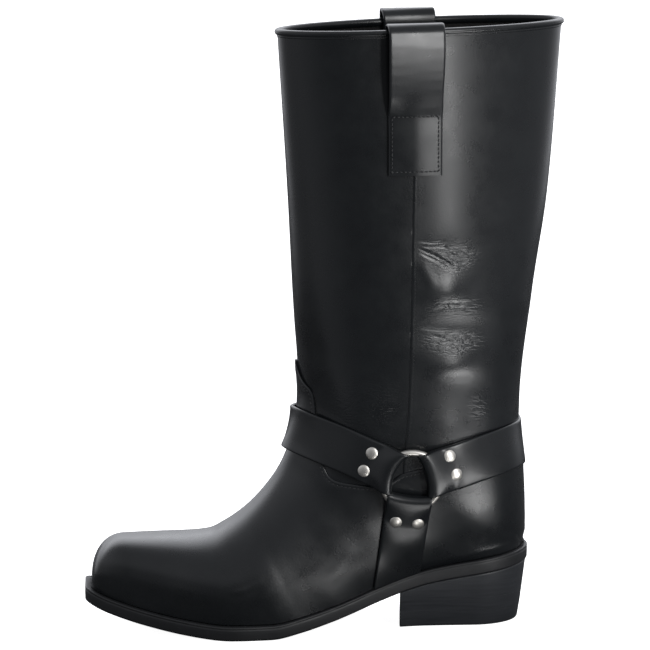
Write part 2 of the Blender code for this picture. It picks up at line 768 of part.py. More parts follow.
def round_strap_half(strap, seat, outside):
    """Half of a strap that runs from a ring round the ankle to the middle line."""
    ahead = np.array([math.cos(strap.slope), 0.0, math.sin(strap.slope)])
    up = np.array([-ahead[2], 0.0, ahead[0]])
    up *= math.copysign(1.0, up[2])
    core = np.array([RING_X, 0.0, RING_Z])
    aside = np.array([0.0, seat.side, 0.0])
    ring_y = abs(seat.centre[1])
    shares = np.linspace(0.0, 1.0, strap.rows)
    places = np.empty((strap.rows, STRAP_ACROSS, 3))
    normals = np.empty_like(places)
    for i, share in enumerate(shares):
        lift = strap.bow * math.sin(math.pi * share)
        for j, t in enumerate(strap_across(share)):
            start = math.atan2(math.sqrt(RING_RADIUS**2 - t**2), ring_y)
            turn = start + (math.pi / 2.0 - start) * share
            direction = aside * math.cos(turn) + ahead * math.sin(turn)
            places[i, j], normals[i, j] = outside.from_inside(core + up * (t + lift), direction)
    return places, normals, shares


def build_round_strap(name, strap, seats, outside, room, collection, cutters, material):
    """Strap from one ring round the ankle to the other."""
    faces = []
    for seat in seats:
        places, normals, shares = round_strap_half(strap, seat, outside)
        rooms = room * ease((shares - 1.0 + ROOM_SPAN) / ROOM_SPAN)
        faces.append(lay_strap(places, normals, seat, rooms))
    (inner, outer), (far_inner, far_outer) = faces
    for near, far in ((inner, far_inner), (outer, far_outer)):
        near[-1] = (near[-1] + far[-1]) / 2.0
    inner = np.concatenate([inner, far_inner[-2::-1]])
    outer = np.concatenate([outer, far_outer[-2::-1]])
    made = sheet_between(name, inner, outer, collection, material)
    dress_ends(made, strap, seats, cutters)
    return made, outer


def build_down_strap(name, seat, outside, collection, cutters, material):
    """Strap from a ring down the side to the sole."""
    strap = DOWN_STRAP
    ahead = np.array([math.cos(strap.slope), math.sin(strap.slope)])
    up = np.array([-ahead[1], ahead[0]])
    centre = np.array([RING_X, RING_Z])
    shares = np.linspace(0.0, 1.0, strap.rows)
    places = np.empty((strap.rows, STRAP_ACROSS, 3))
    normals = np.empty_like(places)
    for i, share in enumerate(shares):
        for j, t in enumerate(strap_across(share)):
            start = math.sqrt(RING_RADIUS**2 - t**2)
            end = RING_Z
            for _ in range(FOOT_SEARCH_STEPS):
                x, z = centre + up * t + ahead * end
                end += z - sole_top(x)[0] - STRAP_FOOT_CLEAR
            x, z = centre + up * t + ahead * (start + (end - start) * share)
            places[i, j], normals[i, j] = outside.from_side(seat.side, x, z)
    inner, outer = lay_strap(places, normals, seat, np.zeros(strap.rows))
    made = sheet_between(name, inner, outer, collection, material)
    dress_ends(made, strap, (seat,), cutters)
    return made, outer


def add_boolean(made, cutter, operation, solver="EXACT"):
    """Join a mesh to another or cut it from it."""
    step = made.modifiers.new(cutter.name, "BOOLEAN")
    step.operation = operation
    step.solver = solver
    step.object = cutter


def dress_ends(made, strap, seats, cutters):
    """Fold a strap's ends round the rings, then leave room for the wire."""
    for seat in seats:
        add_boolean(made, add_fold(f"{made.name}_fold_{seat.title}", seat, strap.angle, cutters), "UNION")
    for seat in seats:
        room = add_torus(f"{made.name}_room_{seat.title}", seat, WIRE_RADIUS + WIRE_CLEAR, cutters)
        add_boolean(made, as_cutter(room), "DIFFERENCE", "MANIFOLD")


def turned(name, profile, place, axis, collection, material=None):
    """Solid of revolution on an axis, from a profile of radius and height that ends on the axis."""
    mesh = bpy.data.meshes.new(name)
    points = [(radius * MM, 0.0, height * MM) for radius, height in reversed(profile)]
    mesh.from_pydata(points, [(i, i + 1) for i in range(len(points) - 1)], [])
    made = bpy.data.objects.new(name, mesh)
    collection.objects.link(made)
    turn = Vector((0.0, 0.0, 1.0)).rotation_difference(Vector(axis))
    made.matrix_world = Matrix.Translation(Vector(place) * MM) @ turn.to_matrix().to_4x4()
    spin = made.modifiers.new("turn", "SCREW")
    spin.axis = "Z"
    spin.steps = RIVET_SIDES
    spin.render_steps = RIVET_SIDES
    spin.use_merge_vertices = True
    spin.merge_threshold = WELD * MM
    if material:
        mesh.materials.append(material)
    return made


def build_rivet(name, place, axis, strap, collection, cutters, material):
    """Domed rivet set a little into a strap, with the hole that its shank goes through."""
    seat = place - axis * (RIVET_SINK - GAP)
    head = (
        (0.0, -RIVET_DEPTH),
        (RIVET_SHANK_RADIUS, -RIVET_DEPTH),
        (RIVET_SHANK_RADIUS, 0.0),
        (RIVET_HEAD_RADIUS, 0.0),
        (RIVET_HEAD_RADIUS, RIVET_EDGE),
        (RIVET_HEAD_RADIUS * RIVET_DOME_WIDE_SHARE, RIVET_HEAD_TALL * RIVET_DOME_TALL_SHARE),
        (0.0, RIVET_HEAD_TALL),
    )
    hole = (
        (0.0, -RIVET_CUT_DEPTH),
        (RIVET_SHANK_RADIUS + GAP, -RIVET_CUT_DEPTH),
        (RIVET_SHANK_RADIUS + GAP, -GAP),
        (RIVET_HEAD_RADIUS + GAP, -GAP),
        (RIVET_HEAD_RADIUS + GAP, RIVET_CUT_TALL),
        (0.0, RIVET_CUT_TALL),
    )
    turned(name, head, seat, axis, collection, material)
    cutter = as_cutter(turned(f"{name}_hole", hole, seat, axis, cutters))
    add_boolean(strap, cutter, "DIFFERENCE")


def on_strap(outer, place, normal):
    """Point and normal of a strap's outer face over a point of the upper."""
    rows, columns = outer.shape[:2]
    quads = []
    for i in range(rows - 1):
        for j in range(columns - 1):
            at = i * columns + j
            quads.append((at, at + 1, at + columns + 1, at + columns))
    tree = BVHTree.FromPolygons(outer.reshape(-1, 3).tolist(), quads)
    spot, facing, _, _ = tree.ray_cast(Vector(place + normal * FAR), Vector(-normal))
    facing = np.array(facing)
    return np.array(spot), facing * math.copysign(1.0, facing @ normal)


def build_rivets(strap, seat, made, outer, outside, collection, cutters, material):
    """The two rivets at one end of a strap."""
    ahead = np.array([math.cos(strap.angle), math.sin(strap.angle)])
    up = np.array([-ahead[1], ahead[0]])
    for which, spread in (("a", -strap.rivet_spread), ("b", strap.rivet_spread)):
        flat = np.array([RING_X, RING_Z]) + ahead * strap.rivet_reach + up * spread
        place, normal = outside.from_side(seat.side, flat[0], flat[1])
        spot, facing = on_strap(outer, place, normal)
        name = f"rivet_{strap.title}_{seat.title}_{which}"
        build_rivet(name, spot, facing, made, collection, cutters, material)


def main():
    """Build every piece of the boot."""
    clear_scene()
    boot = new_collection("biker_boot")
    cutters = new_collection("cutters")
    materials = {name: new_material(name) for name in FINISHES}
    build_outsole(boot, materials["black_rubber"])
    build_heel(boot, materials["stacked_heel"], materials["black_rubber"])
    build_upper(boot, materials["black_leather"])
    build_insole(boot, materials["insole_board"])
    build_binding(boot, materials["black_leather"])
    outside = Outside()
    seats = {name: RingSeat(side, outside) for name, side in SIDES.items()}
    pair = (seats["medial"], seats["lateral"])
    leather = materials["strap_leather"]
    nickel = materials["nickel"]
    for strap, room in ((FRONT_STRAP, TONGUE_ROOM), (BACK_STRAP, BACK_ROOM)):
        name = f"ankle_strap_{strap.title}"
        made, outer = build_round_strap(name, strap, pair, outside, room, boot, cutters, leather)
        for seat in pair:
            build_rivets(strap, seat, made, outer, outside, boot, cutters, nickel)
    for name, side in SIDES.items():
        seat = seats[name]
        made, outer = build_down_strap(f"down_strap_{name}", seat, outside, boot, cutters, leather)
        build_rivets(DOWN_STRAP, seat, made, outer, outside, boot, cutters, nickel)
        build_pull_strap(f"pull_strap_{name}", side, outside, boot, leather)
        add_torus(f"ring_{name}", seat, WIRE_RADIUS, boot, nickel)


main()
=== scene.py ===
"""Looks of a right-foot biker boot: black oiled leather, a nickel ring harness and a stacked heel.

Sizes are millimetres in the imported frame: the toe points to -X, the medial side faces -Y, +Z is up and
the origin is the middle of the heel's ground face. A mesh turns to metres when it is made.
"""

import json
import logging
import math
from contextlib import contextmanager
from dataclasses import dataclass, field
from enum import Enum
from typing import Callable, Iterator, NamedTuple, Optional, Sequence

import bmesh
import bpy
import numpy as np
from bpy.types import ID, Material, Mesh, Node, NodeOutputs, NodeSocket, NodeTree, Object
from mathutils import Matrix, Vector
from mathutils.bvhtree import BVHTree

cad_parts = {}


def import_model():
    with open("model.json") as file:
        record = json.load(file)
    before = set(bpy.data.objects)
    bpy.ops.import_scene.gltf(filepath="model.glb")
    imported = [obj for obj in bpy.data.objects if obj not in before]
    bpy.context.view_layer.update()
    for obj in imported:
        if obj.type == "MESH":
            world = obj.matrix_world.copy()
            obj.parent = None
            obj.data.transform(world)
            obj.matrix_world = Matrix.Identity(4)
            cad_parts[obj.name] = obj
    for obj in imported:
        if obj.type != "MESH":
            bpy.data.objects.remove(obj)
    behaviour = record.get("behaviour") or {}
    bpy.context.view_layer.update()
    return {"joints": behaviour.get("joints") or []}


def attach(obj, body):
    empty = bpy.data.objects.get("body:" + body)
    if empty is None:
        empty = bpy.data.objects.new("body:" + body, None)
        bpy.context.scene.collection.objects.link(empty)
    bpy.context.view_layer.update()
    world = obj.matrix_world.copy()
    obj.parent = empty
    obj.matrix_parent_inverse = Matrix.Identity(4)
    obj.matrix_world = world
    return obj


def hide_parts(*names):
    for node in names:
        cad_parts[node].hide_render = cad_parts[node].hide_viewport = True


LOG = logging.getLogger("biker_boot")
MM = 0.001
FAR = 300.0
WELD = 0.004
Array = np.ndarray
Measure = Callable[[Array], Array]
Ring = tuple[Array, Measure]
Line = tuple[tuple[float, float], ...]


class Side(Enum):
    """The two sides of the boot, with their sign along Y."""

    MEDIAL = -1.0
    LATERAL = 1.0

    @property
    def title(self) -> str:
        """Lower-case name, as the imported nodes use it."""
        return self.name.lower()


class Body(Enum):
    """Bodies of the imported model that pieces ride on."""

    BOOT = "boot"
    MEDIAL_RING = "medial_ring"
    LATERAL_RING = "lateral_ring"


class SoleTop(NamedTuple):
    """Height of the sole's upper face at a place along the boot."""

    x: float
    z: float


class Plan(NamedTuple):
    """Middle and half width of the sole's outline at a place along the boot."""

    x: float
    middle: float
    half: float


class Section(NamedTuple):
    """A cut across the upper, from a base on the sole or the back line to a ridge on the front line."""

    base_x: float
    base_z: Optional[float]
    ridge_x: float
    ridge_z: float
    base_y: Optional[float]
    ridge_y: float
    wide: float
    belly: float
    low: float
    high: float


class RowPlan(NamedTuple):
    """How many rows a grid of the upper has in each stretch, and the first that is kept.

    Each stretch of the shaft gives the section that it ends at and its number of rows.
    """

    toe: int
    edge: int
    heel: int
    shaft: tuple[tuple[float, int], ...]
    first: int = 0


class Crease(NamedTuple):
    """A soft trough along a line in the side view, with its half width and depth."""

    line: Line
    wide: float
    deep: float


class Swell(NamedTuple):
    """A broad rise, or a dip where its height is negative, in the side view."""

    x: float
    z: float
    reach_x: float
    reach_z: float
    height: float

    def spread(self, x: Array, z: Array) -> Array:
        """Squared distance of points from its middle, in its own reaches."""
        return ((x - self.x) / self.reach_x) ** 2 + ((z - self.z) / self.reach_z) ** 2


SOLE_TOPS = (
    SoleTop(-230.0, 27.5),
    SoleTop(-215.0, 21.8),
    SoleTop(-195.0, 16.2),
    SoleTop(-170.0, 11.6),
    SoleTop(-142.0, 9.0),
    SoleTop(-118.0, 9.0),
    SoleTop(-98.0, 12.4),
    SoleTop(-81.0, 16.8),
    SoleTop(-66.0, 21.6),
    SoleTop(-50.0, 27.4),
    SoleTop(-36.0, 32.2),
    SoleTop(-18.0, 37.2),
    SoleTop(10.0, 42.0),
    SoleTop(43.5, 46.5),
)
SOLE_PLANS = (
    Plan(-230.0, -12.0, 22.5),
    Plan(-214.0, -11.0, 28.0),
    Plan(-180.0, -10.0, 40.0),
    Plan(-160.0, -10.5, 46.0),
    Plan(-140.0, -11.0, 49.0),
    Plan(-115.0, -8.5, 49.5),
    Plan(-80.0, -4.0, 44.0),
    Plan(-50.0, -1.0, 37.0),
    Plan(-20.0, 0.0, 33.0),
    Plan(8.0, 0.0, 32.5),
    Plan(43.5, 0.0, 32.5),
)
SECTIONS = (
    Section(-205.0, None, -205.0, 56.0, None, -11.0, 27.0, 0.30, 2.4, 2.7),
    Section(-185.0, None, -186.0, 56.4, None, -11.0, 34.6, 0.28, 2.4, 2.5),
    Section(-165.0, None, -168.0, 57.0, None, -12.0, 41.0, 0.27, 2.4, 2.3),
    Section(-145.0, None, -154.0, 58.8, None, -13.0, 45.0, 0.27, 2.4, 2.1),
    Section(-125.0, None, -144.0, 64.0, None, -13.0, 46.2, 0.27, 2.4, 2.0),
    Section(-105.0, None, -133.5, 71.5, None, -13.0, 45.4, 0.28, 2.4, 1.95),
    Section(-85.0, None, -123.0, 81.5, None, -12.0, 43.0, 0.30, 2.3, 1.95),
    Section(-60.0, None, -113.0, 94.5, None, -11.0, 39.0, 0.35, 2.2, 1.95),
    Section(-20.0, None, -105.5, 108.0, None, -10.0, 36.5, 0.42, 2.2, 2.0),
    Section(15.0, None, -101.0, 120.0, None, -8.0, 37.0, 0.47, 2.2, 2.05),
    Section(41.5, None, -99.0, 132.0, 0.0, -7.0, 38.0, 0.50, 2.2, 2.1),
    Section(43.0, 74.0, -98.5, 146.0, 0.0, -6.0, 38.5, 0.50, 2.3, 2.1),
    Section(38.0, 130.0, -99.5, 165.0, 2.0, -6.0, 39.0, 0.50, 2.2, 2.1),
    Section(45.5, 202.0, -102.0, 205.0, 6.0, -8.0, 40.0, 0.50, 2.1, 2.1),
    Section(54.8, 264.0, -105.0, 264.0, 10.0, -11.0, 39.0, 0.50, 2.0, 2.0),
    Section(63.4, 368.6, -111.4, 366.0, 16.0, -16.0, 36.0, 0.50, 2.0, 2.0),
)

# Rows and columns of the bare form that straps are laid on
FIT_ROWS = RowPlan(24, 72, 28, ((15.0, 84),))
FIT_HALF = 65

# Cut edge of the foot's leather in the side view, from the tongue's tip to the back of the counter
FOOT_EDGE = (
    (-100.2, 167.5), (-97.8, 156.4), (-95.0, 151.2), (-91.2, 148.3), (-89.4, 141.8), (-88.6, 129.7),
    (-87.5, 117.7), (-84.6, 102.0), (-80.6, 95.6), (-74.5, 93.3), (-61.2, 91.7), (-49.0, 90.5),
    (-41.1, 96.2), (-36.9, 99.2), (-27.1, 101.0), (-13.6, 104.3), (5.0, 108.9), (24.3, 111.6),
    (120.0, 112.5),
)
# Side seam of the shaft in the side view, from the collar to the ring
SIDE_SEAM = (
    (-30.0, 400.0), (-30.7, 285.0), (-31.5, 218.0), (-32.2, 175.0), (-33.3, 138.0), (-36.3, 104.0),
    (-37.0, 60.0),
)

# Creases, broad swells and zones of fine crackle on each side, in the side view
CREASES = {
    Side.MEDIAL: (
        Crease(((-28.7, 241.6), (-22.9, 241.1), (-16.7, 240.1), (-9.4, 241.6)), 0.8, 0.32),
        Crease(((-27.1, 239.0), (-20.9, 237.8), (-15.1, 238.2), (-7.3, 236.9)), 0.8, 0.3),
        Crease(((-28.7, 238.5), (-22.9, 234.9), (-16.7, 232.3), (-10.4, 228.7), (-3.7, 222.5)), 0.9, 0.5),
        Crease(((-28.7, 236.0), (-21.9, 232.3), (-15.6, 229.2), (-9.4, 225.1), (-4.2, 222.0)), 0.8, 0.4),
        Crease(((-11.0, 234.4), (-5.2, 231.8), (1.1, 229.2)), 0.8, 0.3),
        Crease(((-9.4, 231.8), (-4.2, 228.7), (2.1, 226.1)), 0.8, 0.28),
        Crease(((-5.2, 234.9), (1.1, 233.9), (6.0, 231.0)), 0.8, 0.24),
        Crease(((-19.8, 203.4), (-9.4, 203.9), (1.1, 202.9), (11.5, 203.9)), 0.8, 0.2),
        Crease(((-16.7, 201.3), (-7.3, 200.3), (3.2, 199.8)), 0.8, 0.3),
        Crease(((-19.8, 199.3), (-11.5, 199.8), (-3.1, 199.0)), 0.8, 0.2),
        Crease(((-28.7, 188.9), (-20.9, 187.9), (-12.5, 186.4), (-6.3, 187.4)), 0.8, 0.22),
        Crease(((-19.8, 183.8), (-12.5, 182.3), (-9.4, 180.2)), 0.8, 0.3),
        Crease(((-16.4, 178.2), (-6.5, 180.0), (2.2, 178.8), (9.6, 181.9)), 0.8, 0.22),
        Crease(((-13.9, 159.2), (-4.6, 158.3), (5.9, 158.6)), 2.6, 0.05),
        Crease(((-27.2, 231.9), (-22.0, 221.2), (-17.3, 209.3)), 4.4, -0.2),
        Crease(((-64.0, 56.0), (-71.0, 47.0), (-78.0, 38.0), (-86.0, 32.0)), 5.0, -0.2),
        Crease(((-144.0, 29.0), (-134.0, 30.5), (-126.0, 34.0), (-121.0, 38.0)), 2.2, -0.2),
    ),
    Side.LATERAL: (
        Crease(((-25.0, 230.0), (-10.0, 226.5), (7.0, 228.0)), 2.0, 0.3),
        Crease(((-19.0, 221.0), (-5.0, 219.0), (11.0, 221.5)), 2.2, 0.26),
        Crease(((-23.0, 197.0), (-9.0, 194.0), (8.0, 196.0)), 2.0, 0.3),
        Crease(((-13.0, 181.0), (0.0, 179.0), (13.0, 181.5)), 2.4, 0.24),
        Crease(((-78.0, 128.0), (-66.0, 131.0), (-54.0, 130.0)), 2.4, 0.3),
    ),
}
SWELLS = {
    Side.MEDIAL: (
        Swell(-12.0, 236.0, 18.0, 8.0, -0.5),
        Swell(-12.0, 211.0, 14.0, 9.0, 1.5),
        Swell(-7.0, 187.0, 24.0, 9.0, -1.2),
        Swell(-5.0, 165.0, 20.0, 9.0, 1.2),
        Swell(-76.0, 46.0, 18.0, 24.0, 2.0),
        Swell(11.0, 138.0, 8.0, 7.0, 0.35),
        Swell(-65.0, 142.0, 13.0, 16.0, 0.9),
    ),
    Side.LATERAL: (
        Swell(-12.0, 205.0, 20.0, 12.0, 0.6),
        Swell(-4.0, 182.0, 20.0, 8.0, -0.6),
    ),
}
CRACKLES = {
    Side.MEDIAL: (
        Swell(-5.0, 231.0, 15.0, 9.0, 0.7),
        Swell(-4.0, 201.0, 18.0, 6.0, 0.4),
        Swell(-4.5, 178.5, 18.0, 7.0, 0.9),
        Swell(11.0, 138.0, 8.0, 8.0, 0.5),
        Swell(-54.0, 141.0, 20.0, 18.0, 0.5),
    ),
    Side.LATERAL: (
        Swell(-10.0, 224.0, 16.0, 10.0, 0.8),
        Swell(-4.0, 182.0, 18.0, 10.0, 0.8),
    ),
}


def smooth(at: Array, knots: Sequence[float], values: Sequence[float]) -> Array:
    """Read a smooth curve through knots that never swings past its values.

    Args:
        at: Places to read the curve at.
        knots: Rising places of the known values.
        values: Known values.

    Returns:
        The curve's values at the asked places.
    """
    at = np.atleast_1d(np.asarray(at, float))
    knots = np.asarray(knots, float)
    values = np.asarray(values, float)
    steps = np.diff(knots)
    slopes = np.diff(values) / steps
    tangents = np.concatenate([slopes[:1], np.zeros(len(knots) - 2), slopes[-1:]])
    for i in range(1, len(knots) - 1):
        before, after = slopes[i - 1], slopes[i]
        if before * after > 0.0:
            near = 2.0 * steps[i] + steps[i - 1]
            far = steps[i] + 2.0 * steps[i - 1]
            tangents[i] = (near + far) / (near / before + far / after)
    k = np.clip(np.searchsorted(knots, at) - 1, 0, len(steps) - 1)
    t = np.clip((at - knots[k]) / steps[k], 0.0, 1.0)
    rest = 1.0 - t
    return (
        values[k] * (1.0 + 2.0 * t) * rest**2
        + values[k + 1] * t**2 * (3.0 - 2.0 * t)
        + steps[k] * (tangents[k] * t * rest**2 - tangents[k + 1] * t**2 * rest)
    )


def ease(t: Array) -> Array:
    """Go from 0 to 1 with a soft start and stop."""
    t = np.clip(t, 0.0, 1.0)
    return t * t * (3.0 - 2.0 * t)


def unit(vector: Array) -> Array:
    """Scale vectors along the last axis to length one."""
    vector = np.asarray(vector, float)
    return vector / np.maximum(np.linalg.norm(vector, axis=-1, keepdims=True), 1e-12)


def rounded(line: Sequence[tuple[float, float]], times: int) -> Array:
    """Cut the corners of an open line, keeping its two ends.

    Args:
        line: Points of the line.
        times: How often every corner is cut.

    Returns:
        The softened line's points.
    """
    points = np.array(line, float)
    for _ in range(times):
        near = points[:-1] * 0.75 + points[1:] * 0.25
        far = points[:-1] * 0.25 + points[1:] * 0.75
        points = np.concatenate([points[:1], np.stack([near, far], 1).reshape(-1, 2), points[-1:]])
    return points


def run_lengths(line: Array) -> Array:
    """Length along a line up to each of its points."""
    return np.concatenate([[0.0], np.cumsum(np.linalg.norm(np.diff(line, axis=0), axis=1))])


def at_lengths(line: Array, at: Array) -> Array:
    """Points of a line at lengths along it."""
    lengths = run_lengths(line)
    return np.stack([np.interp(at, lengths, column) for column in line.T], -1)


def evenly(line: Array, step: float) -> Array:
    """Points along a line at an even step."""
    total = run_lengths(line)[-1]
    return at_lengths(line, np.linspace(0.0, total, max(2, int(round(total / step)) + 1)))


def line_distance(x: Array, z: Array, line: Array) -> tuple[Array, Array]:
    """Distance of points to an open line, and how far along it they are.

    Args:
        x: Places along the boot.
        z: Heights.
        line: Points of the line in the side view.

    Returns:
        The distances, and the shares of the line's length at the nearest points.
    """
    best = np.full(x.shape, np.inf)
    along = np.zeros(x.shape)
    steps = np.linalg.norm(np.diff(line, axis=0), axis=1)
    done = 0.0
    for (start, end), step in zip(zip(line[:-1], line[1:]), steps):
        run = (end - start) / step
        t = np.clip((x - start[0]) * run[0] + (z - start[1]) * run[1], 0.0, step)
        away = np.hypot(x - start[0] - run[0] * t, z - start[1] - run[1] * t)
        nearer = away < best
        best = np.where(nearer, away, best)
        along = np.where(nearer, (done + t) / steps.sum(), along)
        done += step
    return best, along


def inside_outline(x: Array, z: Array, outline: Array) -> Array:
    """Tell which points lie inside a closed outline in the side view."""
    within = np.zeros(x.shape, bool)
    for start, end in zip(outline, np.roll(outline, -1, axis=0)):
        if start[1] != end[1]:
            spans = (start[1] > z) != (end[1] > z)
            cross = start[0] + (z - start[1]) * (end[0] - start[0]) / (end[1] - start[1])
            within ^= spans & (x < cross)
    return within


@dataclass(frozen=True)
class Last:
    """The form the boot is made on: the sole's line and outline, and the upper's outer surface."""

    toe_x: float = -230.0
    heel_x: float = 43.5
    sole_thick: float = 9.0
    toe_round_x: float = -208.0
    toe_round_reach: float = 23.0
    toe_square: float = 3.6
    heel_round_x: float = 8.0
    feather_toe: float = 4.0
    feather_heel: float = 2.0
    feather_gap: float = 0.6
    upper_toe_x: float = -226.0
    toe_box_x: float = -205.0
    toe_box_top: float = 56.0
    toe_front_round: float = 2.4
    toe_box_bulge: float = 0.5
    toe_row_crowd: float = 1.6
    least_bulge: float = 1.002
    samples: int = 160

    def sole_top(self, x: Array) -> Array:
        """Height of the sole's upper face."""
        return smooth(x, [row.x for row in SOLE_TOPS], [row.z for row in SOLE_TOPS])

    def middle(self, x: Array) -> Array:
        """Middle of the sole's outline across the boot."""
        return smooth(x, [row.x for row in SOLE_PLANS], [row.middle for row in SOLE_PLANS])

    def half(self, x: Array, inset: float = 0.0) -> Array:
        """Half width of the sole's outline, moved in by an inset."""
        x = np.atleast_1d(np.asarray(x, float))
        wide = smooth(x, [row.x for row in SOLE_PLANS], [row.half for row in SOLE_PLANS]) - inset
        toe = np.clip((self.toe_round_x - x) / (self.toe_round_reach - inset), 0.0, 1.0)
        heel = np.clip((x - self.heel_round_x) / (self.heel_x - self.heel_round_x - inset), 0.0, 1.0)
        return wide * (1.0 - toe**self.toe_square) ** (1.0 / self.toe_square) * np.sqrt(1.0 - heel**2)

    def feather(self, x: Array) -> Array:
        """Half width of the edge where the upper meets the sole."""
        x = np.atleast_1d(np.asarray(x, float))
        share = np.clip((x - self.toe_box_x) / (self.heel_round_x - self.toe_box_x), 0.0, 1.0)
        inset = self.feather_toe + (self.feather_heel - self.feather_toe) * share
        toe, heel = self.half(x, self.feather_toe), self.half(x, self.feather_heel)
        return np.where(x < self.toe_box_x, toe, np.where(x > self.heel_round_x, heel, self.half(x) - inset))

    def stood(self, row: Section) -> Section:
        """Fill in the base of a section that stands on the sole's edge."""
        if row.base_z is not None:
            return row
        middle = row.base_y if row.base_y is not None else self.middle(row.base_x)[0]
        return row._replace(base_z=self.sole_top(row.base_x)[0] + self.feather_gap, base_y=middle)

    def toe_rows(self, count: int) -> list[Section]:
        """Sections of the toe box, which fall in a round to the edge at the front."""
        first = SECTIONS[0]
        rows = []
        for share in np.linspace(1.0, 0.0, count, endpoint=False):
            ratio = math.sin(share**self.toe_row_crowd * math.pi / 2.0)
            x = self.toe_box_x - (self.toe_box_x - self.upper_toe_x) * ratio
            edge = self.sole_top(x)[0] + self.feather_gap
            fall = max(1.0 - ratio**self.toe_front_round, 0.0) ** (1.0 / self.toe_front_round)
            half = self.feather(x)[0] + self.toe_box_bulge * fall
            ridge = edge + (self.toe_box_top - edge) * fall
            row = first._replace(base_x=x, ridge_x=x, ridge_z=ridge, wide=half)
            rows.append(self.stood(row))
        return rows

    def body_rows(self, plan: RowPlan) -> tuple[list[Section], int]:
        """Sections from the toe box to the collar.

        Args:
            plan: How many rows each stretch has.

        Returns:
            The sections, and how many of them stand on the sole.
        """
        table = np.array([self.stood(row) for row in SECTIONS], float)
        moves = np.diff(table[:, :4], axis=0)
        paths = np.hypot(moves[:, 0], moves[:, 1]) + np.hypot(moves[:, 2], moves[:, 3])
        knots = np.concatenate([[0.0], np.cumsum(paths)])
        last_edge = sum(row.base_z is None for row in SECTIONS) - 1
        start, end = knots[last_edge - 1], knots[last_edge]
        turn = np.linspace(0.0, math.pi / 2.0, plan.heel + 1)[1:]
        stretches = [np.linspace(0.0, start, plan.edge), start + (end - start) * np.sin(turn)]
        reached = float(last_edge)
        for stop, count in plan.shaft:
            spots = np.linspace(reached, stop, count + 1)[1:]
            stretches.append(np.interp(spots, np.arange(len(knots)), knots))
            reached = stop
        along = np.concatenate(stretches)
        columns = [smooth(along, knots, table[:, i]) for i in range(table.shape[1])]
        rows = [Section(*values) for values in zip(*columns)]
        standing = plan.edge + plan.heel
        for i in range(standing):
            base_z = self.sole_top(rows[i].base_x)[0] + self.feather_gap
            rows[i] = rows[i]._replace(base_z=base_z, base_y=self.middle(rows[i].base_x)[0])
        return rows, standing

    def half_section(self, row: Section, side: Side, edge_half: float, shares: Array) -> Array:
        """Points of one side of a section.

        Args:
            row: The section.
            side: Which side of it.
            edge_half: Half width of its base.
            shares: Where the points are, as shares of the way from base to ridge.

        Returns:
            The points.
        """
        wide = max(row.wide, edge_half * self.least_bulge)
        start = math.asin((edge_half / wide) ** (row.low / 2.0))
        turn = np.linspace(0.0, 1.0, self.samples)
        low_turn = start + (math.pi / 2.0 - start) * turn
        reach = row.belly / max(math.cos(start), 1e-6) ** (2.0 / row.low)
        low_q = row.belly - reach * np.maximum(np.cos(low_turn), 0.0) ** (2.0 / row.low)
        low_w = wide * np.sin(low_turn) ** (2.0 / row.low)
        high_turn = turn[1:] * math.pi / 2.0
        high_q = row.belly + (1.0 - row.belly) * np.sin(high_turn) ** (2.0 / row.high)
        high_w = wide * np.maximum(np.cos(high_turn), 0.0) ** (2.0 / row.high)
        q, w = np.concatenate([low_q, high_q]), np.concatenate([low_w, high_w])
        x = row.base_x + (row.ridge_x - row.base_x) * q
        y = row.base_y + (row.ridge_y - row.base_y) * q + side.value * w
        z = row.base_z + (row.ridge_z - row.base_z) * q
        points = np.stack([x, y, z], -1)
        return at_lengths(points, shares * run_lengths(points)[-1])

    def grid(self, plan: RowPlan, medial: Array, lateral: Array) -> Array:
        """Outer surface of the upper, or a part of it.

        Args:
            plan: How many rows each stretch has.
            medial: Shares of the way from base to ridge on the medial side.
            lateral: The same on the lateral side.

        Returns:
            Rows of points that go round over the ridge, or round the back where the shares end short of it.
        """
        rows, standing = self.body_rows(plan)
        toe = self.toe_rows(plan.toe)
        grid = []
        for i, row in enumerate(toe + rows):
            if i >= plan.first:
                half = self.feather(row.base_x)[0] if i < len(toe) + standing - 1 else 0.0
                near = self.half_section(row, Side.MEDIAL, half, medial)
                far = self.half_section(row, Side.LATERAL, half, lateral)
                over_ridge = medial[-1] == 1.0
                grid.append(np.concatenate([near, far[-2::-1]] if over_ridge else [far[::-1], near[1:]]))
        return np.array(grid)


def sheet_normals(points: Array) -> Array:
    """Outward normals of a grid of the upper, shared where its two edges meet at the back."""
    normals = np.cross(np.gradient(points, axis=0), np.gradient(points, axis=1))
    meet = np.linalg.norm(points[:, 0] - points[:, -1], axis=1) < 1e-6
    shared = unit(normals[:, 0]) + unit(normals[:, -1])
    normals[meet, 0] = shared[meet]
    normals[meet, -1] = shared[meet]
    return unit(normals)


def grid_faces(
    rows: int, columns: int, closed: bool = False, flip: bool = False, start: int = 0
) -> list[list[int]]:
    """Quads of a grid whose points are numbered row by row.

    Args:
        rows: Number of rows.
        columns: Number of columns.
        closed: Whether the last row joins the first.
        flip: Whether the faces turn the other way.
        start: Number of the first point.

    Returns:
        The faces' point numbers.
    """
    faces = []
    for i in range(rows if closed else rows - 1):
        for j in range(columns - 1):
            a, b = start + i * columns + j, start + (i + 1) % rows * columns + j
            face = [a, b, b + 1, a + 1]
            faces.append(face[::-1] if flip else face)
    return faces


def point_normals(points: Array, faces: list[list[int]]) -> Array:
    """Sum of the faces' normals at each point."""
    normals = np.zeros_like(points)
    for size in {len(face) for face in faces}:
        group = np.array([face for face in faces if len(face) == size])
        middle = points[group].mean(axis=1)
        facing = np.zeros_like(middle)
        for i in range(size):
            facing += np.cross(points[group[:, i]] - middle, points[group[:, (i + 1) % size]] - middle)
        for i in range(size):
            np.add.at(normals, group[:, i], facing)
    return normals


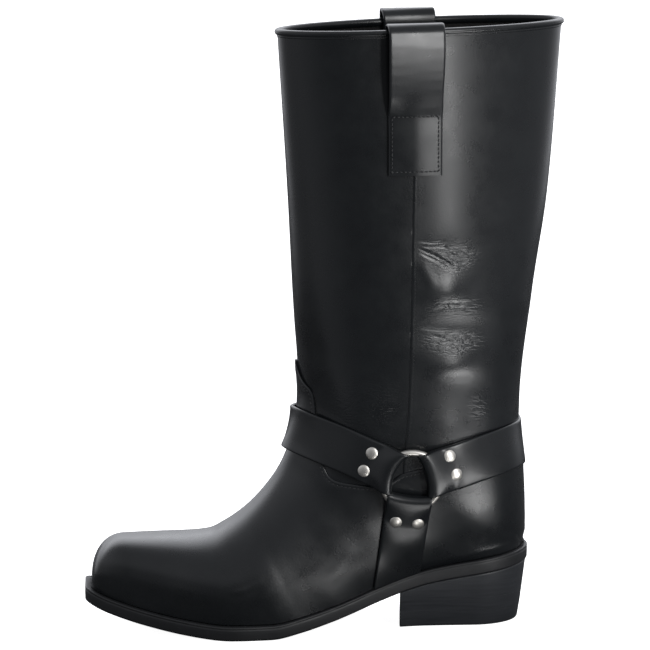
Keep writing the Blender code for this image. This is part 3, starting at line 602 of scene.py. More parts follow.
class Sheet:
    """A skin of faces on the upper, with a normal at each point, that can be split and cut along lines."""

    SNAP = 0.05

    def __init__(self, points: Array) -> None:
        """Start from a grid of points."""
        rows, columns = points.shape[:2]
        self.table = np.concatenate([points, sheet_normals(points)], -1).reshape(-1, 6)
        self.faces = grid_faces(rows, columns)

    def split(self, measure: Measure, level: float) -> None:
        """Put an edge wherever a measure has a level.

        Args:
            measure: Gives a value for each point.
            level: The value where faces are split.
        """
        values = measure(self.table[:, :3]) - level
        values[np.abs(values) < self.SNAP] = 0.0
        count = len(self.table)
        made: dict[tuple[int, int], int] = {}
        extra: list[Array] = []
        faces: list[list[int]] = []
        for face in self.faces:
            signs = values[face]
            if signs.min() >= 0.0 or signs.max() <= 0.0:
                faces.append(face)
                continue
            above: list[int] = []
            below: list[int] = []
            for a, b in zip(face, face[1:] + face[:1]):
                if values[a] >= 0.0:
                    above.append(a)
                if values[a] <= 0.0:
                    below.append(a)
                if values[a] * values[b] < 0.0:
                    key = (min(a, b), max(a, b))
                    if key not in made:
                        share = values[key[0]] / (values[key[0]] - values[key[1]])
                        made[key] = count + len(extra)
                        extra.append(self.table[key[0]] + (self.table[key[1]] - self.table[key[0]]) * share)
                    above.append(made[key])
                    below.append(made[key])
            faces.extend(part for part in (above, below) if len(part) > 2)
        if extra:
            self.table = np.concatenate([self.table, np.array(extra)])
        self.faces = faces

    def keep(self, measure: Measure) -> None:
        """Keep only the faces where a measure is positive."""
        values = measure(self.table[:, :3])
        self.faces = [face for face in self.faces if values[face].mean() > 0.0]
        used = np.unique(np.concatenate([np.array(face) for face in self.faces]))
        number = np.zeros(len(self.table), int)
        number[used] = np.arange(len(used))
        self.table = self.table[used]
        self.faces = [number[face].tolist() for face in self.faces]

    def spread(self, values: Array, weight: Array, times: int) -> tuple[Array, Array]:
        """Even out values at the points by their neighbours.

        Args:
            values: A row of values for each point.
            weight: Share of the move that each point makes.
            times: Number of passes.

        Returns:
            The evened values, and a number for each point that points in one place share.
        """
        pairs = np.array([pair for face in self.faces for pair in zip(face, face[1:] + face[:1])])
        _, same = np.unique(np.round(self.table[:, :3], 2), axis=0, return_inverse=True)
        same = same.reshape(-1)
        start, end = same[pairs[:, 0]], pairs[:, 1]
        count = np.bincount(start)
        values = values.copy()
        for _ in range(times):
            mean = np.stack([np.bincount(start, column) / count for column in values[end].T], -1)
            values += (mean[same] - values) * weight[:, None] * 0.5
        return values, same

    def soften(self, weight: Array, times: int) -> None:
        """Even out the points themselves, and find their normals again.

        Args:
            weight: Share of the move that each point makes.
            times: Number of passes.
        """
        self.table[:, :3], same = self.spread(self.table[:, :3], weight, times)
        normals = point_normals(self.table[:, :3], self.faces)
        shared = np.stack([np.bincount(same, normals[:, i]) for i in range(3)], -1)
        self.table[:, 3:] = unit(shared[same])

    def raised(self, lift: Array) -> Array:
        """Points moved out along their normals."""
        return self.table[:, :3] + unit(self.table[:, 3:]) * lift[:, None]


class Skin:
    """A surface that rays are cast on, with smooth normals."""

    def __init__(self, points: Array, faces: list[list[int]]) -> None:
        """Keep the points and faces, and average the faces' normals at each point."""
        self.points = points
        self.faces = faces
        self.tree = BVHTree.FromPolygons(points.tolist(), faces)
        self.normals = unit(point_normals(points, faces))

    def cast(self, origin: Array, direction: Array) -> tuple[Array, Array]:
        """Point and smooth normal where a ray meets the surface.

        Args:
            origin: Start of the ray.
            direction: Its direction.

        Returns:
            The point and the normal there.
        """
        place, _, index, _ = self.tree.ray_cast(Vector(origin), Vector(direction))
        if place is None:
            raise ValueError(f"no surface from {origin} along {direction}")
        spot = np.array(place)
        corners = self.faces[index]
        weights = 1.0 / (np.linalg.norm(self.points[corners] - spot, axis=1) + 1e-3) ** 2
        return spot, unit((self.normals[corners] * weights[:, None]).sum(axis=0))

    def from_side(self, side: Side, x: float, z: float) -> tuple[Array, Array]:
        """Point and normal of one side, at a place in the side view."""
        return self.cast(np.array([x, side.value * FAR, z]), np.array([0.0, -side.value, 0.0]))

    def along(self, side: Side, line: Array) -> tuple[Array, Array]:
        """Points and normals under a line drawn in the side view."""
        found = [self.from_side(side, x, z) for x, z in line]
        return np.array([spot for spot, _ in found]), np.array([normal for _, normal in found])


@contextmanager
def reworked(mesh: Mesh) -> Iterator[bmesh.types.BMesh]:
    """Open a mesh for editing, and write it back."""
    work = bmesh.new()
    work.from_mesh(mesh)
    yield work
    work.to_mesh(mesh)
    work.free()


def put(name: str, points: Array, faces: list[list[int]], *materials: Material) -> Object:
    """Make a mesh object from points in millimetres.

    Args:
        name: Name of the piece.
        points: Its points.
        faces: Its faces' point numbers.
        materials: Its materials, in slot order.

    Returns:
        The object, smooth and welded, in the scene.
    """
    mesh = bpy.data.meshes.new(name)
    mesh.from_pydata((points * MM).tolist(), [], faces)
    with reworked(mesh) as work:
        bmesh.ops.remove_doubles(work, verts=work.verts, dist=WELD * MM)
        bmesh.ops.dissolve_degenerate(work, edges=work.edges, dist=WELD * MM)
        for face in work.faces:
            face.smooth = True
    made = bpy.data.objects.new(name, mesh)
    bpy.context.scene.collection.objects.link(made)
    for material in materials:
        mesh.materials.append(material)
    return made


def sharpen(made: Object, degrees: float) -> None:
    """Mark the edges where a mesh turns by more than an angle."""
    with reworked(made.data) as work:
        for edge in work.edges:
            edge.smooth = not edge.is_manifold or edge.calc_face_angle(0.0) < math.radians(degrees)


def face_out(made: Object) -> None:
    """Turn every face of a closed mesh outward."""
    with reworked(made.data) as work:
        bmesh.ops.recalc_face_normals(work, faces=work.faces)


def settle(made: Object) -> None:
    """Replace a mesh by what its modifiers make of it, and drop them."""
    bpy.context.view_layer.update()
    seen = made.evaluated_get(bpy.context.evaluated_depsgraph_get())
    mesh = bpy.data.meshes.new_from_object(seen)
    made.modifiers.clear()
    made.data = mesh


def sheet_between(outer: Array, inner: Array) -> tuple[Array, list[list[int]]]:
    """Close the space between two grids of the same shape.

    Args:
        outer: Grid of the outer face.
        inner: Grid of the inner face.

    Returns:
        The points and faces of the solid.
    """
    rows, columns = outer.shape[:2]
    count = rows * columns
    faces = grid_faces(rows, columns) + grid_faces(rows, columns, flip=True, start=count)
    ring = [j for j in range(columns)] + [i * columns + columns - 1 for i in range(1, rows)]
    ring += [(rows - 1) * columns + j for j in range(columns - 2, -1, -1)]
    ring += [i * columns for i in range(rows - 2, 0, -1)]
    for a, b in zip(ring, ring[1:] + ring[:1]):
        faces.append([a, b, b + count, a + count])
    return np.concatenate([outer.reshape(-1, 3), inner.reshape(-1, 3)]), faces


def dress(
    made: Object, body: Body = Body.BOOT, nodes: Sequence[str] = ()
) -> Object:
    """Hand a finished piece to the frame.

    Args:
        made: The piece.
        body: The body that it rides on.
        nodes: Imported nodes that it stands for.

    Returns:
        The piece.
    """
    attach(made, body.value)
    if nodes:
        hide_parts(*nodes)
    LOG.info("%s: %d faces", made.name, len(made.data.polygons))
    return made


def linear(code: str) -> tuple[float, float, float, float]:
    """Turn an sRGB hex colour to linear values with full alpha."""
    parts = [int(code[i : i + 2], 16) / 255.0 for i in (1, 3, 5)]
    values = [v / 12.92 if v <= 0.04045 else ((v + 0.055) / 1.055) ** 2.4 for v in parts]
    return (*values, 1.0)


def wire(tree: NodeTree, node: Node, inputs: dict) -> None:
    """Set a node's inputs to values, or link them to sockets."""
    for key, value in inputs.items():
        if isinstance(value, NodeSocket):
            tree.links.new(value, node.inputs[key])
        else:
            node.inputs[key].default_value = value


def add_node(
    tree: NodeTree, kind: str, inputs: Optional[dict] = None, **settings: object
) -> Node:
    """Add a node with its settings, and set or link its inputs.

    Args:
        tree: The tree that gets the node.
        kind: The node's type.
        inputs: Values for its inputs, or sockets to link them to.
        settings: Its properties.

    Returns:
        The node.
    """
    node = tree.nodes.new(kind)
    for key, value in settings.items():
        setattr(node, key, value)
    wire(tree, node, inputs or {})
    return node


def new_material(name: str) -> tuple[Material, NodeTree]:
    """Start a material with only its shader and output."""
    material = bpy.data.materials.new(name)
    material.use_nodes = True
    return material, material.node_tree


def scale_of(size: float) -> float:
    """Texture scale that gives a feature of a size in millimetres."""
    return 1.0 / (size * MM)


def wave_scale(size: float) -> float:
    """Scale of a wave texture whose bands have a width in millimetres."""
    return scale_of(size) / 20.0 * math.pi


@dataclass(frozen=True)
class Finish:
    """A finish whose colour and gloss each run between two ends along a pattern."""

    name: str
    shade: str
    worn: str
    roughness: float
    smoother: float = 0.0
    rougher: float = 0.0
    gloss_from: tuple[float, float] = (0.0, 1.0)

    def start(self) -> tuple[Material, NodeTree, NodeSocket]:
        """Start the material and its tree, with the place on the piece that patterns read."""
        material, tree = new_material(self.name)
        return material, tree, add_node(tree, "ShaderNodeTexCoord").outputs["Object"]

    def close(
        self, tree: NodeTree, tint: NodeSocket, gloss: Optional[NodeSocket], inputs: dict
    ) -> None:
        """Run colour and gloss along their patterns, and set the shader's other inputs.

        Args:
            tree: The material's tree.
            tint: Pattern of the colour.
            gloss: Pattern of the roughness, or nothing where it is even.
            inputs: The shader's other inputs.
        """
        shades = {"Factor": tint, "A": linear(self.shade), "B": linear(self.worn)}
        colour = add_node(tree, "ShaderNodeMix", shades, data_type="RGBA").outputs["Result"]
        rough: object = self.roughness
        if gloss is not None:
            span = {
                "Value": gloss,
                "From Min": self.gloss_from[0],
                "From Max": self.gloss_from[1],
                "To Min": self.roughness - self.smoother,
                "To Max": self.roughness + self.rougher,
            }
            rough = add_node(tree, "ShaderNodeMapRange", span).outputs["Result"]
        wire(tree, tree.nodes["Principled BSDF"], {"Base Color": colour, "Roughness": rough, **inputs})


@dataclass(frozen=True)
class Leather(Finish):
    """Drum-dyed cowhide, oiled and plated: near black, with a soft wax gloss over a fine grain."""

    shade: str = "#111316"
    worn: str = "#181b1d"
    roughness: float = 0.29
    smoother: float = 0.05
    rougher: float = 0.05
    gloss_from: tuple[float, float] = (0.3, 0.7)
    ior: float = 1.48
    coat: float = 0.2
    coat_roughness: float = 0.2
    # The real grain is finer, and would not show at this distance
    grain: float = 1.3
    grain_deep: float = 0.022
    mottle: float = 16.0
    crackle: float = 2.9
    crackle_deep: float = 0.2
    crackle_wide: float = 0.22
    crackle_stretch: tuple[float, float, float] = (0.36, 0.36, 1.5)
    waver: float = 9.0
    waver_reach: float = 6.0

    def material(self) -> Material:
        """Build the material: mottled gloss, pebbled grain, and a net of fine folds where leather bends."""
        material, tree, place = self.start()
        mottle = add_node(
            tree,
            "ShaderNodeTexNoise",
            {"Vector": place, "Scale": scale_of(self.mottle), "Detail": 5.0, "Roughness": 0.6},
        ).outputs["Fac"]
        pebble = add_node(
            tree, "ShaderNodeTexVoronoi", {"Vector": place, "Scale": scale_of(self.grain)}, feature="F1"
        ).outputs["Distance"]
        grain = add_node(
            tree,
            "ShaderNodeBump",
            {"Height": pebble, "Strength": 1.0, "Distance": self.grain_deep * MM},
            invert=True,
        ).outputs["Normal"]
        stretched = add_node(tree, "ShaderNodeMapping", {"Vector": place, "Scale": self.crackle_stretch})
        wavy = add_node(
            tree, "ShaderNodeTexNoise", {"Vector": place, "Scale": scale_of(self.waver), "Detail": 3.0}
        ).outputs["Color"]
        bent = add_node(
            tree,
            "ShaderNodeVectorMath",
            {0: wavy, 1: (self.waver_reach * MM,) * 3, 2: stretched.outputs["Vector"]},
            operation="MULTIPLY_ADD",
        ).outputs["Vector"]
        net = add_node(
            tree,
            "ShaderNodeTexVoronoi",
            {"Vector": bent, "Scale": scale_of(self.crackle)},
            feature="DISTANCE_TO_EDGE",
        ).outputs["Distance"]
        cut = add_node(tree, "ShaderNodeMapRange", {"Value": net, "From Max": self.crackle_wide})
        mask = add_node(tree, "ShaderNodeAttribute", attribute_name="crackle").outputs["Fac"]
        folds = add_node(
            tree,
            "ShaderNodeBump",
            {
                "Height": cut.outputs["Result"],
                "Strength": mask,
                "Distance": self.crackle_deep * MM,
                "Normal": grain,
            },
        ).outputs["Normal"]
        wax = {"Coat Weight": self.coat, "Coat Roughness": self.coat_roughness}
        self.close(tree, mottle, mottle, {"Normal": folds, "IOR": self.ior, **wax})
        return material


@dataclass(frozen=True)
class SoleRubber(Finish):
    """Moulded black rubber, trimmed and inked at the edge: matt, with fine trimming scratches."""

    shade: str = "#17181a"
    worn: str = "#232426"
    roughness: float = 0.5
    smoother: float = 0.1
    rougher: float = 0.12
    ior: float = 1.5
    ink: float = 12.0
    scratch: float = 0.9
    scratch_deep: float = 0.03
    scratch_stretch: tuple[float, float, float] = (0.06, 0.06, 1.0)

    def material(self) -> Material:
        """Build the material: uneven ink and scratches that run along the edge."""
        material, tree, place = self.start()
        along = add_node(tree, "ShaderNodeMapping", {"Vector": place, "Scale": self.scratch_stretch})
        scratch = add_node(
            tree,
            "ShaderNodeTexNoise",
            {"Vector": along.outputs["Vector"], "Scale": scale_of(self.scratch), "Detail": 4.0},
        ).outputs["Fac"]
        ink = add_node(
            tree, "ShaderNodeTexNoise", {"Vector": place, "Scale": scale_of(self.ink), "Detail": 4.0}
        ).outputs["Fac"]
        bump = add_node(
            tree, "ShaderNodeBump", {"Height": scratch, "Strength": 1.0, "Distance": self.scratch_deep * MM}
        ).outputs["Normal"]
        self.close(tree, ink, scratch, {"Normal": bump, "IOR": self.ior})
        return material


@dataclass(frozen=True)
class StackedHeel(Finish):
    """Leather layers, glued, sanded, inked black and waxed: thin level lines under a low gloss."""

    shade: str = "#25272a"
    worn: str = "#383a3e"
    roughness: float = 0.42
    smoother: float = 0.1
    rougher: float = 0.16
    layer: float = 4.6
    layer_deep: float = 0.07
    sanding: float = 0.7
    sanding_deep: float = 0.03
    sanding_stretch: tuple[float, float, float] = (1.0, 1.0, 0.08)
    streak: float = 1.1
    streak_stretch: tuple[float, float, float] = (0.05, 0.05, 1.0)

    def material(self) -> Material:
        """Build the material: layer lines with a little waver, and upright sanding marks."""
        material, tree, place = self.start()
        lines = add_node(
            tree,
            "ShaderNodeTexWave",
            {"Vector": place, "Scale": wave_scale(self.layer), "Distortion": 0.6, "Detail": 2.0},
            bands_direction="Z",
            wave_profile="SAW",
        ).outputs["Fac"]
        marks = []
        for stretch, size, detail in (
            (self.sanding_stretch, self.sanding, 3.0),
            (self.streak_stretch, self.streak, 4.0),
        ):
            drawn = add_node(tree, "ShaderNodeMapping", {"Vector": place, "Scale": stretch}).outputs["Vector"]
            noise = {"Vector": drawn, "Scale": scale_of(size), "Detail": detail}
            marks.append(add_node(tree, "ShaderNodeTexNoise", noise).outputs["Fac"])
        sanded, streak = marks
        layers = add_node(
            tree, "ShaderNodeBump", {"Height": lines, "Strength": 1.0, "Distance": self.layer_deep * MM}
        ).outputs["Normal"]
        rubbed = add_node(
            tree,
            "ShaderNodeBump",
            {"Height": sanded, "Strength": 1.0, "Distance": self.sanding_deep * MM, "Normal": layers},
        ).outputs["Normal"]
        self.close(tree, streak, streak, {"Normal": rubbed})
        return material


@dataclass(frozen=True)
class Nickel(Finish):
    """Steel, polished and nickel plated: a warm white metal with faint buffing and handling marks."""

    shade: str = "#f2efe9"
    worn: str = "#d8d4cc"
    roughness: float = 0.36
    smoother: float = 0.06
    rougher: float = 0.12
    buffing: float = 2.5

    def material(self) -> Material:
        """Build the material: clouded gloss over bright metal."""
        material, tree, place = self.start()
        cloud = add_node(
            tree,
            "ShaderNodeTexNoise",
            {"Vector": place, "Scale": scale_of(self.buffing), "Detail": 4.0, "Roughness": 0.65},
        ).outputs["Fac"]
        self.close(tree, cloud, cloud, {"Metallic": 1.0})
        return material


@dataclass(frozen=True)
class Woven(Finish):
    """Twisted or woven textile, such as waxed thread or a twill lining: dull, with a fine rib."""

    rib: float = 0.5
    rib_deep: float = 0.05

    def material(self) -> Material:
        """Build the material: a slanting rib that breaks up a dull colour."""
        material, tree, place = self.start()
        rib = add_node(
            tree,
            "ShaderNodeTexWave",
            {"Vector": place, "Scale": wave_scale(self.rib), "Distortion": 1.0},
            bands_direction="DIAGONAL",
        ).outputs["Fac"]
        bump = add_node(
            tree, "ShaderNodeBump", {"Height": rib, "Strength": 1.0, "Distance": self.rib_deep * MM}
        ).outputs["Normal"]
        self.close(tree, rib, None, {"Normal": bump})
        return material


class Finishes:
    """Every material of the boot, made once."""

    def __init__(self) -> None:
        """Make the materials."""
        self.upper = Leather("oiled_upper_leather").material()
        strap = Leather("waxed_strap_leather", roughness=0.3, grain_deep=0.012, crackle_deep=0.0)
        self.strap = strap.material()
        self.lining = Woven("twill_lining", "#101011", "#19191a", 0.85, rib=0.9).material()
        self.rubber = SoleRubber("inked_sole_rubber").material()
        self.heel = StackedHeel("stacked_heel_leather").material()
        self.nickel = Nickel("polished_nickel").material()
        self.thread = Woven("waxed_thread", "#1a1b1c", "#2c2d2f", 0.5).material()
        self.insole = Leather("insole_leather", "#2a2622", "#38332d", 0.6, coat=0.0).material()


@dataclass(frozen=True)
class Relief:
    """How far the leather stands out of the last's surface: panels, seams and folds."""

    tongue_proud: float = 0.9
    tongue_flare: float = 0.6
    tongue_x: float = -78.0
    tongue_low: float = 95.0
    tongue_tip: float = 142.0
    tongue_span: float = 20.0
    shaft_sunk: float = 1.0
    shaft_tongue_x: float = -86.0
    shaft_tongue_share: float = 0.75
    shaft_span: float = 22.0
    tucked: float = 0.6
    tucked_span: float = 3.0
    panel_span: float = 8.0
    lap_sunk: float = 0.55
    lap_step: float = 0.15
    lap_proud: float = 0.09
    lap_span: float = 6.0
    cut_round: float = 0.4
    cut_span: float = 1.1
    stitch_in: float = 2.3
    stitch_deep: float = 0.1
    stitch_wide: float = 0.55
    seam_groove: float = 0.2
    side_lead: float = 2.0
    side_span: float = 12.0
    crease_ends: float = 0.3
    crease_lip: float = 0.7
    crackle_edge: float = 1.5

    def near(self, y: Array, side: Side) -> Array:
        """Share of a side's folds at places across the boot."""
        return ease((y * side.value + self.side_lead) / self.side_span)

    def foot_outline(self) -> Array:
        """Closed outline of the foot's leather in the side view."""
        edge = rounded(FOOT_EDGE, 2)
        around = [(120.0, -100.0), (-400.0, -100.0), (-400.0, 167.5)]
        return np.concatenate([edge, around])

    def foot_depth(self, points: Array) -> Array:
        """Distance from the foot leather's cut edge, positive inside it."""
        x, z = points[:, 0], points[:, 2]
        away, _ = line_distance(x, z, rounded(FOOT_EDGE, 2))
        return np.where(inside_outline(x, z, self.foot_outline()), away, -away)

    def seam_depth(self, points: Array) -> Array:
        """Distance behind the side seam, negative in front of it."""
        line = np.array(SIDE_SEAM)[::-1]
        return points[:, 0] - np.interp(points[:, 2], line[:, 1], line[:, 0])

    def folds(self, points: Array) -> Array:
        """Height of the creases and swells at points of the upper."""
        x, y, z = points.T
        height = np.zeros(len(points))
        for side in Side:
            near = self.near(y, side)
            for crease in CREASES[side]:
                away, along = line_distance(x, z, rounded(crease.line, 2))
                ends = ease(along / self.crease_ends) * ease((1.0 - along) / self.crease_ends)
                spread = (away / crease.wide) ** 2
                height += near * crease.deep * ends * (self.crease_lip * spread - 1.0) * np.exp(-spread)
            for swell in SWELLS[side]:
                height += near * swell.height * np.exp(-swell.spread(x, z))
        return height

    def crackle(self, points: Array) -> Array:
        """Share of fine folds at points of the upper, from 0 to 1."""
        x, y, z = points.T
        share = np.zeros(len(points))
        for side in Side:
            for zone in CRACKLES[side]:
                inside = np.exp(-(zone.spread(x, z) ** self.crackle_edge))
                share = np.maximum(share, self.near(y, side) * zone.height * inside)
        return share

    def cut_edge(self, depth: Array, groove: float = 1.0) -> Array:
        """Fall of a panel at its rounded cut edge, and a share of the groove that its stitches pull in."""
        fall = -self.cut_round * np.clip(1.0 - depth / self.cut_span, 0.0, 1.0) ** 2
        pulled = np.exp(-(((depth - self.stitch_in) / self.stitch_wide) ** 2))
        return fall - groove * self.stitch_deep * pulled

    def foot(self, points: Array) -> Array:
        """Lift of the foot's leather, with its tongue."""
        front = ease((self.tongue_x - points[:, 0]) / self.panel_span)
        rise = self.tongue_proud * ease((points[:, 2] - self.tongue_low) / self.tongue_span)
        flare = self.tongue_flare * ease((points[:, 2] - self.tongue_tip) / self.tongue_span)
        return front * (rise + flare) + self.cut_edge(self.foot_depth(points)) + self.folds(points)

    def shaft(self, points: Array) -> Array:
        """Lift of the shaft, which dips under the foot's leather."""
        depth = self.foot_depth(points)
        front = ease((self.shaft_tongue_x - points[:, 0]) / self.panel_span)
        sunk = self.shaft_sunk * (1.0 - self.shaft_tongue_share * front)
        dip = -sunk * (1.0 - ease(-depth / self.shaft_span))
        return dip - self.tucked * ease(depth / self.tucked_span) + self.folds(points)

    def shaft_front(self, points: Array) -> Array:
        """Lift of the shaft's front panel, which dips under the back panel at the seam."""
        step = np.clip((self.seam_depth(points) + self.lap_step) / self.lap_step, 0.0, 1.0)
        return self.shaft(points) - self.lap_sunk * step

    def shaft_back(self, points: Array) -> Array:
        """Lift of the shaft's back panel, with the raised lap at the seam."""
        behind = self.seam_depth(points)
        lap = self.lap_proud * (1.0 - ease(behind / self.lap_span))
        return self.shaft(points) + lap + self.cut_edge(behind, self.seam_groove)


@dataclass
class Upper:
    """The leather body: the foot with its tongue and counter, and the two panels of the shaft."""

    last: Last
    finishes: Finishes
    relief: Relief = field(default_factory=Relief)
    thick: float = 1.4
    overlap: float = 8.0
    foot_rows: RowPlan = RowPlan(36, 120, 32, ((12.35, 44),))
    foot_half: int = 108
    edge_cuts: tuple[float, ...] = (0.0, 0.4, 1.1, 1.8, 2.3, 2.8)
    front_cuts: tuple[float, ...] = (0.0, 8.0, 8.15, 8.4)
    sharp: float = 42.0
    sole_gap: float = 1.0
    counter_x: float = -35.0
    counter_span: float = 20.0
    counter_rise: float = 10.0
    counter_edge: tuple[float, float] = (0.5, 6.0)
    counter_passes: int = 480
    refill_passes: int = 320
    counter_fill: float = 0.6
    fill_x: float = -40.0
    fill_gap: float = 0.6
    fill_span: float = 5.0
    heel_tuck: float = 1.3
    tuck_x: float = 2.0
    tuck_rise: float = 13.0
    toe_span: float = 8.0
    toe_rise: float = 3.0
    toe_passes: int = 40
    front_rows: RowPlan = RowPlan(2, 60, 10, ((12.0, 30), (15.0, 130)), 50)
    front_from: float = 0.4
    front_half: int = 100
    back_rows: RowPlan = RowPlan(2, 60, 10, ((12.0, 26), (13.9, 165), (15.0, 36)), 50)
    back_to: float = 0.62
    back_medial: int = 104
    back_lateral: int = 60

    def shell(self, name: str, sheet: Sheet, lift: Array) -> Object:
        """Give a raised sheet its thickness and its lining.

        Args:
            name: Name of the piece.
            sheet: The cut sheet.
            lift: How far each of its points is raised.

        Returns:
            The closed piece.
        """
        made = put(name, sheet.raised(lift), sheet.faces, self.finishes.upper, self.finishes.lining)
        wall = made.modifiers.new("wall", "SOLIDIFY")
        wall.thickness = self.thick * MM
        wall.offset = -1.0
        wall.material_offset = 1
        settle(made)
        sharpen(made, self.sharp)
        spots = np.empty(len(made.data.vertices) * 3, np.float32)
        made.data.vertices.foreach_get("co", spots)
        share = self.relief.crackle(spots.reshape(-1, 3).astype(float) / MM)
        crackle = made.data.attributes.new("crackle", "FLOAT", "POINT")
        crackle.data.foreach_set("value", share.astype(np.float32))
        return made

    def build_foot(self) -> Skin:
        """Vamp, counter and tongue as one piece, cut along their top edge.

        Returns:
            The outer skin, for laying stitches on.
        """
        shares = np.linspace(0.0, 1.0, self.foot_half)
        sheet = Sheet(self.last.grid(self.foot_rows, shares, shares))
        depth = self.relief.foot_depth
        for level in self.edge_cuts:
            sheet.split(depth, level)
        sheet.keep(depth)
        before = sheet.table[:, :3].copy()
        x, inside = before[:, 0], depth(before)
        rise = before[:, 2] - self.last.sole_top(x)
        counter = ease((rise - self.sole_gap) / self.counter_rise)
        counter *= ease((x - self.counter_x) / self.counter_span)
        counter *= ease((inside - self.counter_edge[0]) / self.counter_edge[1])
        toe = np.exp(-(((x - self.last.toe_box_x) / self.toe_span) ** 2))
        toe *= ease((rise - self.sole_gap) / self.toe_rise)
        sheet.soften(counter, self.counter_passes)
        lost = ((before - sheet.table[:, :3]) * sheet.table[:, 3:]).sum(axis=1, keepdims=True)
        lost, _ = sheet.spread(lost, np.ones(len(lost)), self.refill_passes)
        sheet.soften(toe, self.toe_passes)
        border = ease((rise - self.fill_gap) / self.fill_span) * ease(inside / self.fill_span)
        border *= ease((x - self.fill_x) / self.counter_span)
        tuck = 1.0 - ease(rise / self.tuck_rise)
        tuck *= self.heel_tuck * ease((x - self.tuck_x) / self.counter_span)
        lift = self.relief.foot(sheet.table[:, :3]) - tuck
        lift += (lost[:, 0] + self.counter_fill) * border
        made = self.shell("vamp_and_counter", sheet, lift)
        dress(made, nodes=("upper",))
        return Skin(sheet.raised(lift), sheet.faces)

    def build_shaft(self) -> tuple[Skin, Skin]:
        """Front and back panels of the shaft, lapped at the side seams.

        Returns:
            The outer skins of the front and the back panel.
        """
        skins = []
        shares = np.linspace(self.front_from, 1.0, self.front_half)
        front = self.last.grid(self.front_rows, shares, shares)
        medial = np.linspace(0.0, self.back_to, self.back_medial)
        lateral = np.linspace(0.0, self.back_to, self.back_lateral)
        back = self.last.grid(self.back_rows, medial, lateral)
        depth = self.relief.foot_depth
        behind = self.relief.seam_depth

        def under(points: Array) -> Array:
            """Distance above the end of the part that is tucked under the foot's leather."""
            return self.overlap - depth(points)

        def ahead(points: Array) -> Array:
            """Distance in front of the end of the part that is tucked under the back panel."""
            return self.overlap - behind(points)

        for name, grid, cuts, levels, lift_of in (
            ("shaft_front_panel", front, (under, ahead), self.front_cuts, self.relief.shaft_front),
            ("shaft_back_panel", back, (under, behind), self.edge_cuts, self.relief.shaft_back),
        ):
            sheet = Sheet(grid)
            sheet.split(cuts[0], 0.0)
            sheet.keep(cuts[0])
            for level in levels:
                sheet.split(cuts[1], level)
            sheet.keep(cuts[1])
            lift = lift_of(sheet.table[:, :3])
            dress(self.shell(name, sheet, lift))
            skins.append(Skin(sheet.raised(lift), sheet.faces))
        return skins[0], skins[1]


@dataclass
class CollarBinding:
    """Rolled strip that binds the top line, with a sewn rib under its bead."""

    last: Last
    finishes: Finishes
    half_columns: int = 120
    rim_rows: RowPlan = RowPlan(1, 2, 2, ((15.0, 12),))
    profile: Line = (
        (-0.4, -3.3), (0.3, -3.0), (0.5, -2.5), (0.35, -2.1), (0.2, -1.8), (0.8, -1.6), (1.35, -1.1),
        (1.6, -0.3), (1.55, 0.5), (1.15, 1.2), (0.4, 1.7), (-0.6, 1.9), (-1.7, 1.8), (-2.5, 1.3),
        (-3.0, 0.5), (-3.1, -0.5), (-2.9, -1.6), (-2.6, -2.5), (-2.1, -3.0), (-1.0, -3.1),
    )

    def build(self) -> None:
        """Sweep the rolled profile round the collar."""
        shares = np.linspace(0.0, 1.0, self.half_columns)
        grid = self.last.grid(self.rim_rows, shares, shares)
        rim, below = grid[-1][:-1], grid[-2][:-1]
        along = np.roll(rim, -1, axis=0) - np.roll(rim, 1, axis=0)
        up = unit(rim - below)
        out = unit(np.cross(up, along))
        profile = np.array(self.profile + self.profile[:1])
        rings = rim[:, None] + out[:, None] * profile[None, :, :1] + up[:, None] * profile[None, :, 1:]
        points = rings.reshape(-1, 3)
        faces = grid_faces(len(rings), len(profile), closed=True)
        made = put("collar_roll", points, faces, self.finishes.upper)
        face_out(made)
        dress(made, nodes=("collar_binding",))


def edge_fall(across: Array, half: float, roundness: float) -> Array:
    """How far a strap's faces fall in at its rounded edges.

    Args:
        across: Places across the strap.
        half: Half its width there.
        roundness: Radius of its edges.

    Returns:
        The fall at each place.
    """
    past = np.clip(np.abs(across) - (half - roundness), 0.0, roundness)
    return roundness - np.sqrt(np.maximum(roundness**2 - past**2, 0.0))


def across_strap(half: float, count: int) -> Array:
    """Places across a strap that crowd towards its edges."""
    return half * np.sin(np.linspace(-math.pi / 2.0, math.pi / 2.0, count))


def close_strap(
    name: str, faces: Sequence[Array], material: Material, degrees: float, node: str
) -> Skin:
    """Close a strap between its outer and inner face and hand it over.

    Args:
        name: Name of the piece.
        faces: Grids of its outer and its inner face.
        material: Its material.
        degrees: Angle past which its edges are crisp.
        node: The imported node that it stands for.

    Returns:
        The skin of its outer face.
    """
    made = put(name, *sheet_between(*faces), material)
    face_out(made)
    sharpen(made, degrees)
    dress(made, nodes=(node,))
    return Skin(faces[0].reshape(-1, 3), grid_faces(*faces[0].shape[:2]))


class LoopFit(NamedTuple):
    """How a pull loop hangs: its twist, extra height, share of width and share of the shaft's slant."""

    twist: float
    rise: float
    girth: float
    slant: float


